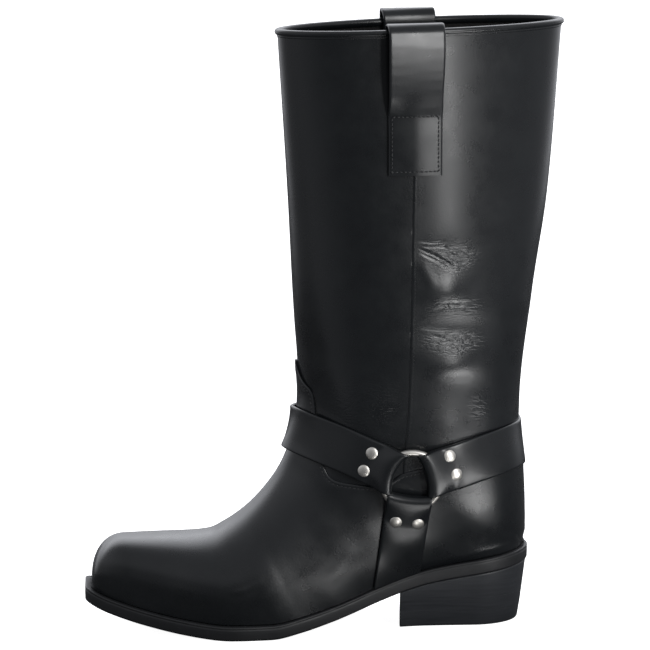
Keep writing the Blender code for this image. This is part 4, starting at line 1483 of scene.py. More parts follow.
@dataclass
class PullStraps:
    """Loops of strap sewn outside and inside the shaft, standing over the collar."""

    finishes: Finishes
    skin: Skin
    x: float = -29.7
    wide: float = 33.5
    thick: float = 2.0
    edge: float = 0.85
    sharp: float = 50.0
    columns: int = 25
    rows: int = 90
    bend_rows: int = 13
    fit_z: float = 362.0
    fit_span: float = 20.0
    free_z: float = 316.0
    free_span: float = 14.0
    rise_z: float = 320.0
    rise_span: float = 40.0
    broad_z: float = 300.0
    broad_span: float = 60.0
    narrow: float = 0.964
    broad: float = 1.045
    seam_roof: float = 0.7
    roof_half: float = 15.0
    roof_blunt: float = 0.1
    box_in: float = 2.1
    box_low: float = 284.0
    box_high: float = 317.0
    medial: LoopFit = LoopFit(math.radians(4.5), 0.0, 1.0, 1.0)
    lateral: LoopFit = LoopFit(0.0, 2.2, 0.95, 0.0)
    outside: Line = (
        (281.6, 1.35), (303.0, 1.35), (316.5, 1.15), (322.0, 2.35), (328.0, 3.5), (334.0, 4.5),
        (340.0, 5.3), (346.0, 5.9), (352.0, 6.3), (358.0, 6.4), (366.0, 5.8),
    )
    inside: Line = ((366.0, -5.6), (350.0, -5.2), (325.0, -3.9), (300.0, -3.9))

    def path(self) -> Array:
        """Middle line of a loop as heights and distances out of the shaft."""
        last, first = self.outside[-1], self.inside[0]
        radius, centre = (last[1] - first[1]) / 2.0, (last[1] + first[1]) / 2.0
        turns = np.linspace(0.0, math.pi, self.bend_rows)[1:-1]
        top = [(last[0] + radius * math.sin(a), centre + radius * math.cos(a)) for a in turns]
        line = np.array([*self.outside, *top, *self.inside])
        lengths = run_lengths(line)
        at = np.linspace(0.0, lengths[-1], self.rows)
        return np.stack([smooth(at, lengths, column) for column in line.T], -1)

    def base(self, side: Side, shift: float, z: float) -> tuple[Array, Array]:
        """Point on the shaft under a loop, or on its straight extension over the collar.

        Args:
            side: The side of the boot.
            shift: Place across the loop.
            z: Height.

        Returns:
            The point, and the level direction out of the shaft there.
        """
        x = self.x + shift
        high, normal = self.skin.from_side(side, x, min(z, self.fit_z))
        level = unit(np.array([normal[0], normal[1], 0.0]))
        if z <= self.fit_z:
            return high, level
        low, _ = self.skin.from_side(side, x, self.fit_z - self.fit_span)
        return high + (high - low) / (high[2] - low[2]) * (z - self.fit_z), level

    def spot(self, side: Side, shift: float, z: float, out: float, roof: float) -> Array:
        """Point of a loop, which follows the shaft where it is sewn and lies flat where it is free.

        Args:
            side: The side of the boot.
            shift: Place across the loop.
            z: Height.
            out: Distance out of the shaft.
            roof: Extra height over the shaft's seam where it is sewn.

        Returns:
            The point.
        """
        fit = self.medial if side is Side.MEDIAL else self.lateral
        wider = (self.broad - self.narrow) * float(ease((z - self.broad_z) / self.broad_span))
        aside = shift * fit.girth * (self.narrow + wider)
        base, level = self.base(side, aside, z)
        middle, middle_level = self.base(side, 0.0, z)
        depth = self.outside[-1][1] - self.inside[0][1]
        free = ease((z - self.free_z) / self.free_span) * ease((out - self.inside[0][1]) / depth)
        facing = math.atan2(middle_level[0], abs(middle_level[1])) * fit.slant
        turn = facing + fit.twist
        plane = np.array([math.cos(turn), -side.value * math.sin(turn), 0.0])
        outward = np.array([math.sin(facing), side.value * math.cos(facing), 0.0])
        bent = base + level * (out + (1.0 - free) * roof)
        flat = middle + plane * aside + outward * out
        return bent * (1.0 - free) + flat * free

    def build(self, side: Side) -> Skin:
        """Make one loop, and return its outer skin for laying stitches on."""
        path = self.path()
        run = unit(np.gradient(path, axis=0))
        away = np.stack([-run[:, 1], run[:, 0]], -1)
        across = across_strap(self.wide / 2.0, self.columns)
        fall = edge_fall(across, self.wide / 2.0, self.edge)
        fit = self.medial if side is Side.MEDIAL else self.lateral
        path[:, 0] += fit.rise * ease((path[:, 0] - self.rise_z) / self.rise_span)
        grids = []
        for sign in (1.0, -1.0):
            grid = np.empty((self.rows, self.columns, 3))
            for j, shift in enumerate(across):
                roof = self.seam_roof * (1.0 - math.hypot(shift / self.roof_half, self.roof_blunt))
                for i, (z, out) in enumerate(path + away * sign * (self.thick / 2.0 - fall[j])):
                    grid[i, j] = self.spot(side, shift, z, out, roof if i < self.rows // 2 else 0.0)
            grids.append(grid)
        name, node = f"pull_loop_{side.title}", f"pull_strap_{side.title}"
        return close_strap(name, grids, self.finishes.strap, self.sharp, node)

    def box(self) -> Array:
        """Line of the sewn box in the side view."""
        half = self.narrow * self.wide / 2.0 - self.box_in
        low, high = self.box_low, self.box_high
        corners = [(-half, low), (half, low), (half, high), (-half, high), (-half, low)]
        return np.array([(self.x + a, z) for a, z in corners])


class StrapPlan(NamedTuple):
    """Where a strap of the harness meets its ring and runs to, and where its rivets are."""

    title: str
    angle: float
    slope: float
    bow: float
    rivet_reach: float
    rivet_spread: float
    flat: float


class RingSeat:
    """Where a harness ring sits: its centre, its axis out of the boot and its own plane."""

    def __init__(self, side: Side, joint: dict) -> None:
        """Read the seat from the ring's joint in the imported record."""
        self.side = side
        self.centre = np.array(joint["pos_m"]) / MM
        self.axis = unit(np.array(joint["axis"]))
        self.right = unit(np.array([1.0, 0.0, 0.0]) - self.axis * self.axis[0])
        up = np.array([0.0, 0.0, 1.0])
        self.up = unit(up - self.axis * (up @ self.axis) - self.right * (up @ self.right))

    def across(self, lead: Array) -> Array:
        """Direction in the ring's plane at a right angle to another."""
        return np.cross(self.axis, lead)

    def spoke(self, angle: Array) -> Array:
        """Directions from the centre at angles from the heel side."""
        angle = np.asarray(angle)[..., None]
        return self.right * np.cos(angle) + self.up * np.sin(angle)


@dataclass
class Harness:
    """Rings of round wire, held in folded strap ends that are riveted behind the wire."""

    finishes: Finishes
    skin: Skin
    seats: dict[Side, RingSeat]
    ring_x: float = -31.5
    ring_z: float = 95.5
    ring_radius: float = 17.8
    wire: float = 1.9
    wide: float = 27.5
    thick: float = 2.0
    edge: float = 0.85
    gap: float = 0.6
    wrap: float = 4.1
    ramp: float = 13.0
    tail: float = 14.0
    tail_end: float = 26.0
    tail_thick: float = 1.7
    crown: float = 0.6
    crown_from: float = 20.0
    crown_fade: float = 40.0
    flare: float = 0.08
    taper: float = 0.1
    taper_span: float = 0.3
    tongue_room: float = 2.2
    back_room: float = -1.5
    room_span: float = 0.45
    columns: int = 27
    half_rows: int = 54
    row_crowd: float = 1.15
    wrap_rows: int = 9
    ring_steps: int = 120
    wire_steps: int = 25
    sole_gap: float = 1.0
    sole_tries: int = 8
    sharp: float = 55.0
    front: StrapPlan = StrapPlan("front", math.radians(156.0), math.radians(160.0), 3.0, 29.0, 6.0, 0.3)
    back: StrapPlan = StrapPlan("back", math.radians(20.0), math.radians(12.5), 2.0, 27.0, 6.2, 0.6)
    down: StrapPlan = StrapPlan("down", math.radians(-96.0), math.radians(-97.5), 0.0, 26.5, 6.8, 0.75)
    rivets: dict[Side, list[tuple[Array, Array]]] = field(default_factory=dict)

    def lanes(self, share: float, flare: float, taper: float) -> Array:
        """Places across a strap, whose upper edge flares and whose lower edge narrows at the ring.

        Args:
            share: Share of the way from the ring.
            flare: Share that the upper half is wider at the ring.
            taper: Share that the lower half is narrower there.

        Returns:
            The places, from the lower to the upper edge.
        """
        near = 1.0 - float(ease(np.array(share / self.taper_span)))
        lanes = across_strap(self.wide / 2.0, self.columns)
        return np.where(lanes > 0.0, lanes * (1.0 + flare * near), lanes * (1.0 - taper * near))

    def lay_round(self, plan: StrapPlan, seat: RingSeat) -> tuple[Array, Array, Array]:
        """Points on the upper under half of a strap that goes round the ankle.

        Args:
            plan: The strap.
            seat: The ring that it starts from.

        Returns:
            Rows of points from the ring to the middle line, their normals, and each row's share of the way.
        """
        ahead = np.array([math.cos(plan.slope), 0.0, math.sin(plan.slope)])
        up = np.array([-ahead[2], 0.0, ahead[0]])
        up *= math.copysign(1.0, up[2])
        core = np.array([self.ring_x, 0.0, self.ring_z])
        aside = np.array([0.0, seat.side.value, 0.0])
        shares = np.linspace(0.0, 1.0, self.half_rows) ** self.row_crowd
        places = np.empty((self.half_rows, self.columns, 3))
        normals = np.empty_like(places)
        for i, share in enumerate(shares):
            lift = plan.bow * math.sin(math.pi * share)
            for j, t in enumerate(self.lanes(share, self.flare, self.taper)):
                start = math.atan2(math.sqrt(self.ring_radius**2 - t**2), abs(seat.centre[1]))
                turn = start + (math.pi / 2.0 - start) * share
                direction = aside * math.cos(turn) + ahead * math.sin(turn)
                places[i, j], normals[i, j] = self.skin.cast(core + up * (t + lift), direction)
        return places, normals, shares

    def lay_down(self, plan: StrapPlan, seat: RingSeat, last: Last) -> tuple[Array, Array]:
        """Points on the upper under a strap that runs from a ring down to the sole.

        Args:
            plan: The strap.
            seat: The ring that it starts from.
            last: The boot's form, for the sole's height.

        Returns:
            Rows of points from the ring to the sole, and their normals.
        """
        ahead = np.array([math.cos(plan.slope), math.sin(plan.slope)])
        up = np.array([-ahead[1], ahead[0]])
        centre = np.array([self.ring_x, self.ring_z])
        places = np.empty((self.half_rows, self.columns, 3))
        normals = np.empty_like(places)
        for i, share in enumerate(np.linspace(0.0, 1.0, self.half_rows)):
            for j, t in enumerate(self.lanes(share, 0.0, 0.0)):
                start = math.sqrt(self.ring_radius**2 - t**2)
                end = self.ring_z
                for _ in range(self.sole_tries):
                    x, z = centre + up * t + ahead * end
                    end += z - last.sole_top(x)[0] - self.sole_gap
                x, z = centre + up * t + ahead * (start + (end - start) * share)
                places[i, j], normals[i, j] = self.skin.from_side(seat.side, x, z)
        return places, normals

    def faces_of(
        self, plan: StrapPlan, seat: RingSeat, places: Array, normals: Array, rooms: Array
    ) -> tuple[Array, Array]:
        """Outer and inner face of a strap from its fold on a ring to its far end.

        Args:
            plan: The strap.
            seat: The ring.
            places: Points on the upper under the strap.
            normals: The upper's normals there.
            rooms: Extra room under each row.

        Returns:
            The two faces, which start on one line at the ring's hole.
        """
        lead = np.array([math.cos(plan.slope), 0.0, math.sin(plan.slope)])
        lead = unit(lead - seat.axis * (lead @ seat.axis))
        beside = (places[0] - seat.centre) @ np.stack([lead, seat.across(lead)], 1)
        arc = np.sqrt(self.ring_radius**2 - np.clip(beside[:, 1], -self.ring_radius, self.ring_radius) ** 2)
        reached = arc + (arc.min() - arc) * plan.flat
        wire = seat.centre + lead * reached[:, None] + seat.across(lead) * beside[:, 1:]
        steps = np.linalg.norm(np.diff(places, axis=0), axis=2)
        reach = np.concatenate([np.zeros((1, places.shape[1])), np.cumsum(steps, axis=0)])
        half = self.wide / 2.0
        fall = edge_fall(across_strap(half, self.columns), half, self.edge)
        settled = ease(reach / self.ramp)[..., None]
        tail = self.tail_thick * (1.0 - ease((reach - self.tail) / self.tail_end))
        crown = self.crown * (1.0 - np.linspace(-1.0, 1.0, self.columns) ** 2)
        crown = crown * (1.0 - ease((reach - self.crown_from) / self.crown_fade))
        rest = (self.gap + rooms)[:, None]
        faces = []
        for sign, level in ((1.0, rest + self.thick + tail + crown - fall), (-1.0, rest + fall)):
            turns = np.linspace(math.pi, math.pi / 2.0, self.wrap_rows)[:-1]
            radius = (self.wrap - fall)[None, :, None]
            curl = wire + radius * (
                seat.axis * sign * np.sin(turns)[:, None, None] + lead * np.cos(turns)[:, None, None]
            )
            leaving = wire + lead * reach[..., None] + seat.axis * sign * radius
            lying = places + normals * level[..., None]
            faces.append(np.concatenate([curl, leaving * (1.0 - settled) + lying * settled]))
        return faces[0], faces[1]

    def add_rivets(self, plan: StrapPlan, seat: RingSeat, skin: Skin) -> None:
        """Note the places of the two rivets at one end of a strap."""
        ahead = np.array([math.cos(plan.angle), math.sin(plan.angle)])
        up = np.array([-ahead[1], ahead[0]])
        for spread in (-plan.rivet_spread, plan.rivet_spread):
            x, z = np.array([self.ring_x, self.ring_z]) + ahead * plan.rivet_reach + up * spread
            self.rivets.setdefault(seat.side, []).append(skin.from_side(seat.side, x, z))

    def finish(self, name: str, faces: Sequence[Array], node: str) -> Skin:
        """Close a strap of the harness and hand it over."""
        return close_strap(name, faces, self.finishes.strap, self.sharp, node)

    def build_round(self, plan: StrapPlan, room: float) -> None:
        """Make a strap that goes from one ring round the ankle to the other.

        Args:
            plan: The strap.
            room: Extra room under it at the middle line.
        """
        halves = []
        for seat in self.seats.values():
            places, normals, shares = self.lay_round(plan, seat)
            rooms = room * ease((shares - 1.0 + self.room_span) / self.room_span)
            halves.append(self.faces_of(plan, seat, places, normals, rooms))
        whole = []
        for near, far in zip(*halves):
            near[-1] = (near[-1] + far[-1]) / 2.0
            whole.append(np.concatenate([near, far[-2::-1]]))
        skin = self.finish(f"harness_{plan.title}", whole, f"ankle_strap_{plan.title}")
        for seat in self.seats.values():
            self.add_rivets(plan, seat, skin)

    def build_down(self, seat: RingSeat, last: Last) -> None:
        """Make the strap from a ring down to the sole."""
        places, normals = self.lay_down(self.down, seat, last)
        faces = self.faces_of(self.down, seat, places, normals, np.zeros(self.half_rows))
        skin = self.finish(f"harness_down_{seat.side.title}", faces, f"down_strap_{seat.side.title}")
        self.add_rivets(self.down, seat, skin)

    def build_ring(self, seat: RingSeat, body: Body) -> None:
        """Make a ring of round wire."""
        around = np.linspace(0.0, 2.0 * math.pi, self.ring_steps, endpoint=False)
        turns = np.linspace(0.0, 2.0 * math.pi, self.wire_steps)
        spokes = seat.spoke(around)[:, None]
        wire = spokes * (self.ring_radius + self.wire * np.cos(turns)[None, :, None])
        points = seat.centre + wire + seat.axis * (self.wire * np.sin(turns))[None, :, None]
        faces = grid_faces(self.ring_steps, self.wire_steps, closed=True)
        made = put(f"nickel_ring_{seat.side.title}", points.reshape(-1, 3), faces, self.finishes.nickel)
        face_out(made)
        dress(made, body, (f"ring_{seat.side.title}",))

    def build(self, last: Last) -> None:
        """Make every strap and ring."""
        self.build_round(self.front, self.tongue_room)
        self.build_round(self.back, self.back_room)
        for side, body in ((Side.MEDIAL, Body.MEDIAL_RING), (Side.LATERAL, Body.LATERAL_RING)):
            self.build_down(self.seats[side], last)
            self.build_ring(self.seats[side], body)


@dataclass
class Bottom:
    """Outsole, stacked heel, top lift and insole."""

    last: Last
    finishes: Finishes
    breast_x: float = -37.6
    heel_top_inset: float = 1.0
    heel_ground_inset: float = 6.0
    lift_thick: float = 10.5
    joint: float = 0.03
    breast_skew: float = 0.073
    skew_span: float = 20.0
    steps: int = 150
    side_steps: int = 400
    round_steps: int = 160
    sharp: float = 50.0
    insole_clear: float = 3.7
    insole_toe: float = 8.2
    insole_heel: float = 1.6
    insole_taper: float = 0.35
    insole_steps: tuple[int, int] = (300, 80)
    sole_profile: Line = (
        (6.0, 0.0), (1.5, 0.0), (0.5, -0.15), (0.08, -0.6), (0.0, -1.2), (0.35, -1.55), (0.3, -1.9),
        (0.05, -2.3), (0.0, -2.7), (0.0, -4.5), (0.06, -7.6), (0.1, -8.0), (0.4, -8.6), (1.2, -8.95),
        (6.0, -9.0),
    )
    block_profile: Line = (
        (1.0, 2.0), (1.0, 0.5), (0.985, 0.1), (0.95, 0.0), (0.5, 0.0), (0.02, 0.0), (0.0, 0.0),
        (0.0, 2.0),
    )
    lift_profile: Line = (
        (1.0, 2.0), (1.0, 0.0), (0.93, 0.0), (0.15, 0.0), (0.08, 0.05), (0.02, 0.35), (0.0, 0.9),
        (0.0, 2.5),
    )
    insole_profile: Line = ((2.0, 3.3), (0.6, 3.3), (0.15, 2.9), (0.0, 2.0), (0.0, 0.6), (2.0, 0.4))

    def half_line(self, inset: float, start: float) -> Array:
        """Half of an outline in plan, from the front middle to the back middle.

        Args:
            inset: How far the outline is moved in.
            start: Where the outline starts along the boot.

        Returns:
            Points of x and half width.
        """
        turn = self.last.heel_round_x
        sweep = np.sin(np.linspace(0.0, math.pi / 2.0, self.round_steps))[1:]
        back = turn + (self.last.heel_x - inset - turn) * sweep
        x = np.concatenate([np.linspace(start, turn, self.side_steps), back])
        line = np.stack([x, self.last.half(x, inset)], -1)
        line[-1, 1] = 0.0
        return np.concatenate([[[start, 0.0]], line])

    def loft(
        self, name: str, rings: Sequence[Ring], material: Material, skew: float = 0.0
    ) -> Object:
        """Join outlines at several heights into one solid.

        Args:
            name: Name of the piece.
            rings: Half outlines with their heights as functions of x, from the top to the bottom.
            material: The piece's material.
            skew: Slope of its front face in plan.

        Returns:
            The closed piece.
        """
        layers = []
        for line, height in rings:
            x, half = at_lengths(line, np.linspace(0.0, run_lengths(line)[-1], self.steps)).T
            middle, z = self.last.middle(x), height(x)
            layers.append([np.stack([x, middle + sign * half, z], -1) for sign in (-1.0, 1.0)])
        loop = [medial for medial, _ in layers] + [lateral for _, lateral in layers[::-1]]
        points = np.stack([*loop, loop[0]], 1)
        fade = 1.0 - ease((points[..., 0] - self.breast_x) / self.skew_span)
        points[..., 0] += skew * (points[..., 1] - points[..., 1].min()) * fade
        made = put(name, points.reshape(-1, 3), grid_faces(self.steps, points.shape[1]), material)
        face_out(made)
        sharpen(made, self.sharp)
        return made

    def over_sole(self, rise: float) -> Measure:
        """Height over the sole's upper face, as a function of x."""
        return lambda x: self.last.sole_top(x) + rise

    def build_outsole(self) -> None:
        """Band under the whole boot, with softened edges and a fine rib along its top."""
        rings = [
            (self.half_line(inset, self.last.toe_x + inset), self.over_sole(drop))
            for inset, drop in self.sole_profile
        ]
        dress(self.loft("rubber_sole_band", rings, self.finishes.rubber), nodes=("outsole",))

    def heel_rings(self, profile: Line, top: bool) -> list[Ring]:
        """Outlines of a piece of the heel.

        Args:
            profile: Shares of the piece's height from top to bottom, with an extra inset at each.
            top: Whether the piece is the stacked block under the sole, and not the lift.

        Returns:
            Half outlines with their heights.
        """
        rings = []
        seat = self.over_sole(-self.last.sole_thick)
        for share, extra in profile:

            def height(x: Array, share: float = share) -> Array:
                """Height of the outline at places along the boot."""
                if top:
                    return self.lift_thick + (seat(x) - self.lift_thick) * share
                return np.full(x.shape, (self.lift_thick - self.joint) * share)

            ratio = float(height(np.zeros(1))[0]) / float(seat(0.0)[0])
            inset = self.heel_ground_inset + (self.heel_top_inset - self.heel_ground_inset) * ratio + extra
            rings.append((self.half_line(inset, self.breast_x + extra), height))
        return rings

    def build_heel(self) -> None:
        """Stacked block and top lift."""
        block = self.heel_rings(self.block_profile, True)
        made = self.loft("stacked_block", block, self.finishes.heel, self.breast_skew)
        dress(made, nodes=("heel",))
        lift = self.heel_rings(self.lift_profile, False)
        made = self.loft("heel_lift", lift, self.finishes.heel, self.breast_skew)
        dress(made, nodes=("top_lift",))

    def build_insole(self) -> None:
        """Leather-covered board inside the upper."""
        last = self.last
        start = last.upper_toe_x + self.insole_toe
        turn = np.linspace(0.0, math.pi / 2.0, self.insole_steps[1])[1:]
        rings = []
        for extra, rise in self.insole_profile:
            x = np.linspace(start + extra, last.heel_round_x, self.insole_steps[0])
            side = last.feather(np.clip(x, last.toe_box_x, None)) - self.insole_clear - extra
            toe = np.clip((last.toe_box_x - x) / (last.toe_box_x - start), 0.0, 1.0)
            front = np.stack([x, side * (1.0 - self.insole_taper * toe**2)], -1)
            end = last.heel_x - last.feather_heel - self.insole_clear - self.insole_heel - extra
            back_x = last.heel_round_x + (end - last.heel_round_x) * np.sin(turn)
            back = np.stack([back_x, front[-1, 1] * np.cos(turn)], -1)
            rings.append((np.concatenate([[[start + extra, 0.0]], front, back]), self.over_sole(rise)))
        dress(self.loft("covered_insole", rings, self.finishes.insole), nodes=("insole",))


class Stitch(NamedTuple):
    """Sizes of a stitch, and how far the thread's middle lies under the leather."""

    sink: float
    spacing: float
    length: float
    wide: float
    tall: float


STITCHES = {
    "edge": Stitch(0.1, 2.6, 2.2, 0.75, 0.7),
    "seam": Stitch(0.2, 2.4, 1.9, 0.5, 0.5),
    "loop": Stitch(0.05, 2.6, 2.2, 1.0, 1.0),
}
# Heights between which the side seam's line is sewn, and the steps of the stitches' paths
SEWN_FROM, SEWN_TO = 80.0, 300.0
SEAM_STEP, BOX_STEP = 1.0, 0.5


class Repeats:
    """Stitches and rivets, set by Geometry Nodes along paths and on points."""

    stitch_slant = math.radians(9.0)
    pinch = {"From Min": 0.28, "From Max": 0.46, "To Min": 1.0, "To Max": 0.9}

    def __init__(self, finishes: Finishes) -> None:
        """Keep the finishes, and build the two trees."""
        self.finishes = finishes
        self.stitch_tree = self.make_stitch_tree()
        self.rivet_tree = self.make_rivet_tree()

    @staticmethod
    def new_tree(
        name: str, sizes: dict[str, float]
    ) -> tuple[NodeTree, NodeOutputs, NodeSocket]:
        """Start a tree with a geometry input, named sizes and a geometry output.

        Args:
            name: The tree's name.
            sizes: Names of its size inputs, with default values in millimetres.

        Returns:
            The tree, its inputs, and the turn that stands a shape upright on the leather.
        """
        tree = bpy.data.node_groups.new(name, "GeometryNodeTree")
        add_socket = tree.interface.new_socket
        add_socket("Geometry", in_out="INPUT", socket_type="NodeSocketGeometry")
        for title, value in sizes.items():
            add_socket(title, in_out="INPUT", socket_type="NodeSocketFloat").default_value = value * MM
        add_socket("Material", in_out="INPUT", socket_type="NodeSocketMaterial")
        add_socket("Geometry", in_out="OUTPUT", socket_type="NodeSocketGeometry")
        named = {"Name": "facing"}
        facing = add_node(tree, "GeometryNodeInputNamedAttribute", named, data_type="FLOAT_VECTOR")
        out = {"Vector": facing.outputs["Attribute"]}
        upright = add_node(tree, "FunctionNodeAlignRotationToVector", out, axis="Z")
        return tree, tree.nodes.new("NodeGroupInput").outputs, upright.outputs["Rotation"]

    def make_stitch_tree(self) -> NodeTree:
        """Build the tree that lays slanting stitches along a path."""
        sizes = {"Spacing": 3.0, "Length": 2.4, "Width": 0.8, "Height": 0.7}
        tree, given, upright = self.new_tree("stitches", sizes)
        curve = add_node(tree, "GeometryNodeMeshToCurve", {"Mesh": given["Geometry"]}).outputs["Curve"]
        spaced = add_node(
            tree, "GeometryNodeResampleCurve", {"Curve": curve, "Length": given["Spacing"]}, mode="LENGTH"
        )
        run = add_node(tree, "GeometryNodeInputTangent").outputs["Tangent"]
        along = {"Rotation": upright, "Vector": run}
        turned = add_node(tree, "FunctionNodeAlignRotationToVector", along, axis="X", pivot_axis="Z")
        bead = add_node(tree, "GeometryNodeMeshUVSphere", {"Segments": 8, "Rings": 6, "Radius": 0.5})
        size = {"X": given["Length"], "Y": given["Width"], "Z": given["Height"]}
        turn = (0.0, 0.0, self.stitch_slant)
        points, stance = spaced.outputs["Curve"], turned.outputs["Rotation"]
        self.close_tree(tree, given, points, bead.outputs["Mesh"], size, turn, stance)
        return tree

    def make_rivet_tree(self) -> NodeTree:
        """Build the tree that rolls a rivet's cap from a ball and sets it on points."""
        tree, given, upright = self.new_tree("rivets", {"Radius": 3.8, "Height": 1.2})
        ball = add_node(tree, "GeometryNodeMeshUVSphere", {"Segments": 28, "Rings": 22, "Radius": 1.0})
        place = add_node(tree, "GeometryNodeInputPosition").outputs["Position"]
        parts = add_node(tree, "ShaderNodeSeparateXYZ", {"Vector": place})
        groove = add_node(
            tree,
            "ShaderNodeMapRange",
            {"Value": parts.outputs["Z"], **self.pinch},
            interpolation_type="SMOOTHSTEP",
        )
        sized = add_node(
            tree, "ShaderNodeVectorMath", {0: place, "Scale": groove.outputs["Result"]}, operation="SCALE"
        )
        rolled = add_node(
            tree,
            "GeometryNodeSetPosition",
            {"Geometry": ball.outputs["Mesh"], "Position": sized.outputs["Vector"]},
        )
        size = {"X": given["Radius"], "Y": given["Radius"], "Z": given["Height"]}
        points, shape = given["Geometry"], rolled.outputs["Geometry"]
        self.close_tree(tree, given, points, shape, size, (0.0, 0.0, 0.0), upright)
        return tree

    @staticmethod
    def close_tree(
        tree: NodeTree,
        given: NodeOutputs,
        points: NodeSocket,
        shape: NodeSocket,
        size: dict[str, NodeSocket],
        turn: tuple[float, float, float],
        stance: NodeSocket,
    ) -> None:
        """End a tree: size a shape, set it on points, and give its real, smooth faces their material.

        Args:
            tree: The tree.
            given: Its inputs.
            points: Where the shape is set.
            shape: The shape at unit size.
            size: Its three sizes.
            turn: Its own turn.
            stance: Its turn on each point.
        """
        scale = add_node(tree, "ShaderNodeCombineXYZ", size).outputs["Vector"]
        piece = add_node(tree, "GeometryNodeTransform", {"Geometry": shape, "Scale": scale, "Rotation": turn})
        spread = {"Points": points, "Instance": piece.outputs["Geometry"], "Rotation": stance}
        last = add_node(tree, "GeometryNodeInstanceOnPoints", spread).outputs["Instances"]
        last = add_node(tree, "GeometryNodeRealizeInstances", {"Geometry": last}).outputs["Geometry"]
        last = add_node(tree, "GeometryNodeSetShadeSmooth", {"Geometry": last}).outputs["Geometry"]
        painted = add_node(tree, "GeometryNodeSetMaterial", {"Geometry": last, "Material": given["Material"]})
        add_node(tree, "NodeGroupOutput", {"Geometry": painted.outputs["Geometry"]})

    @staticmethod
    def run(made: Object, tree: NodeTree, values: dict[str, object]) -> None:
        """Evaluate a tree on an object with named inputs, and keep the result as its mesh."""
        step = made.modifiers.new(tree.name, "NODES")
        step.node_group = tree
        sockets = {item.name: item.identifier for item in tree.interface.items_tree if item.in_out == "INPUT"}
        for title, value in values.items():
            step[sockets[title]] = value
        settle(made)

    def sew(self, name: str, path: tuple[Array, Array], stitch: Stitch) -> None:
        """Lay stitches along a path on the leather.

        Args:
            name: Name of the piece.
            path: Points and normals of the path.
            stitch: Sizes of a stitch.
        """
        spots, normals = path
        edges = [(i, i + 1) for i in range(len(spots) - 1)]
        made = self.on_points(name, (spots - normals * stitch.sink) * MM, edges, normals)
        values: dict[str, object] = {
            "Spacing": stitch.spacing * MM,
            "Length": stitch.length * MM,
            "Width": stitch.wide * MM,
            "Height": stitch.tall * MM,
            "Material": self.finishes.thread,
        }
        self.run(made, self.stitch_tree, values)
        dress(made)

    def set_rivets(self, name: str, spots: Sequence[tuple[Array, Array]], nodes: Sequence[str]) -> None:
        """Set rivet caps on straps.

        Args:
            name: Name of the piece.
            spots: Points and normals of the caps.
            nodes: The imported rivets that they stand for.
        """
        points = np.array([spot for spot, _ in spots]) * MM
        normals = np.array([normal for _, normal in spots])
        made = self.on_points(name, points, [], normals)
        self.run(made, self.rivet_tree, {"Material": self.finishes.nickel})
        dress(made, nodes=nodes)

    @staticmethod
    def on_points(name: str, points: Array, edges: list[tuple[int, int]], normals: Array) -> Object:
        """Make an object of points and edges that carries their normals as an attribute."""
        mesh = bpy.data.meshes.new(name)
        mesh.from_pydata(points.tolist(), edges, [])
        facing = mesh.attributes.new("facing", "FLOAT_VECTOR", "POINT")
        facing.data.foreach_set("vector", normals.astype(np.float32).ravel())
        made = bpy.data.objects.new(name, mesh)
        bpy.context.scene.collection.objects.link(made)
        return made


class Softbox(NamedTuple):
    """A soft light: its place, what it faces, its size and its power."""

    name: str
    place: tuple[float, float, float]
    aim: tuple[float, float, float]
    wide: float
    tall: float
    power: float


class Ramp(NamedTuple):
    """How the room's glow goes from a least to a most value along one direction."""

    start: float
    end: float
    least: float
    most: float


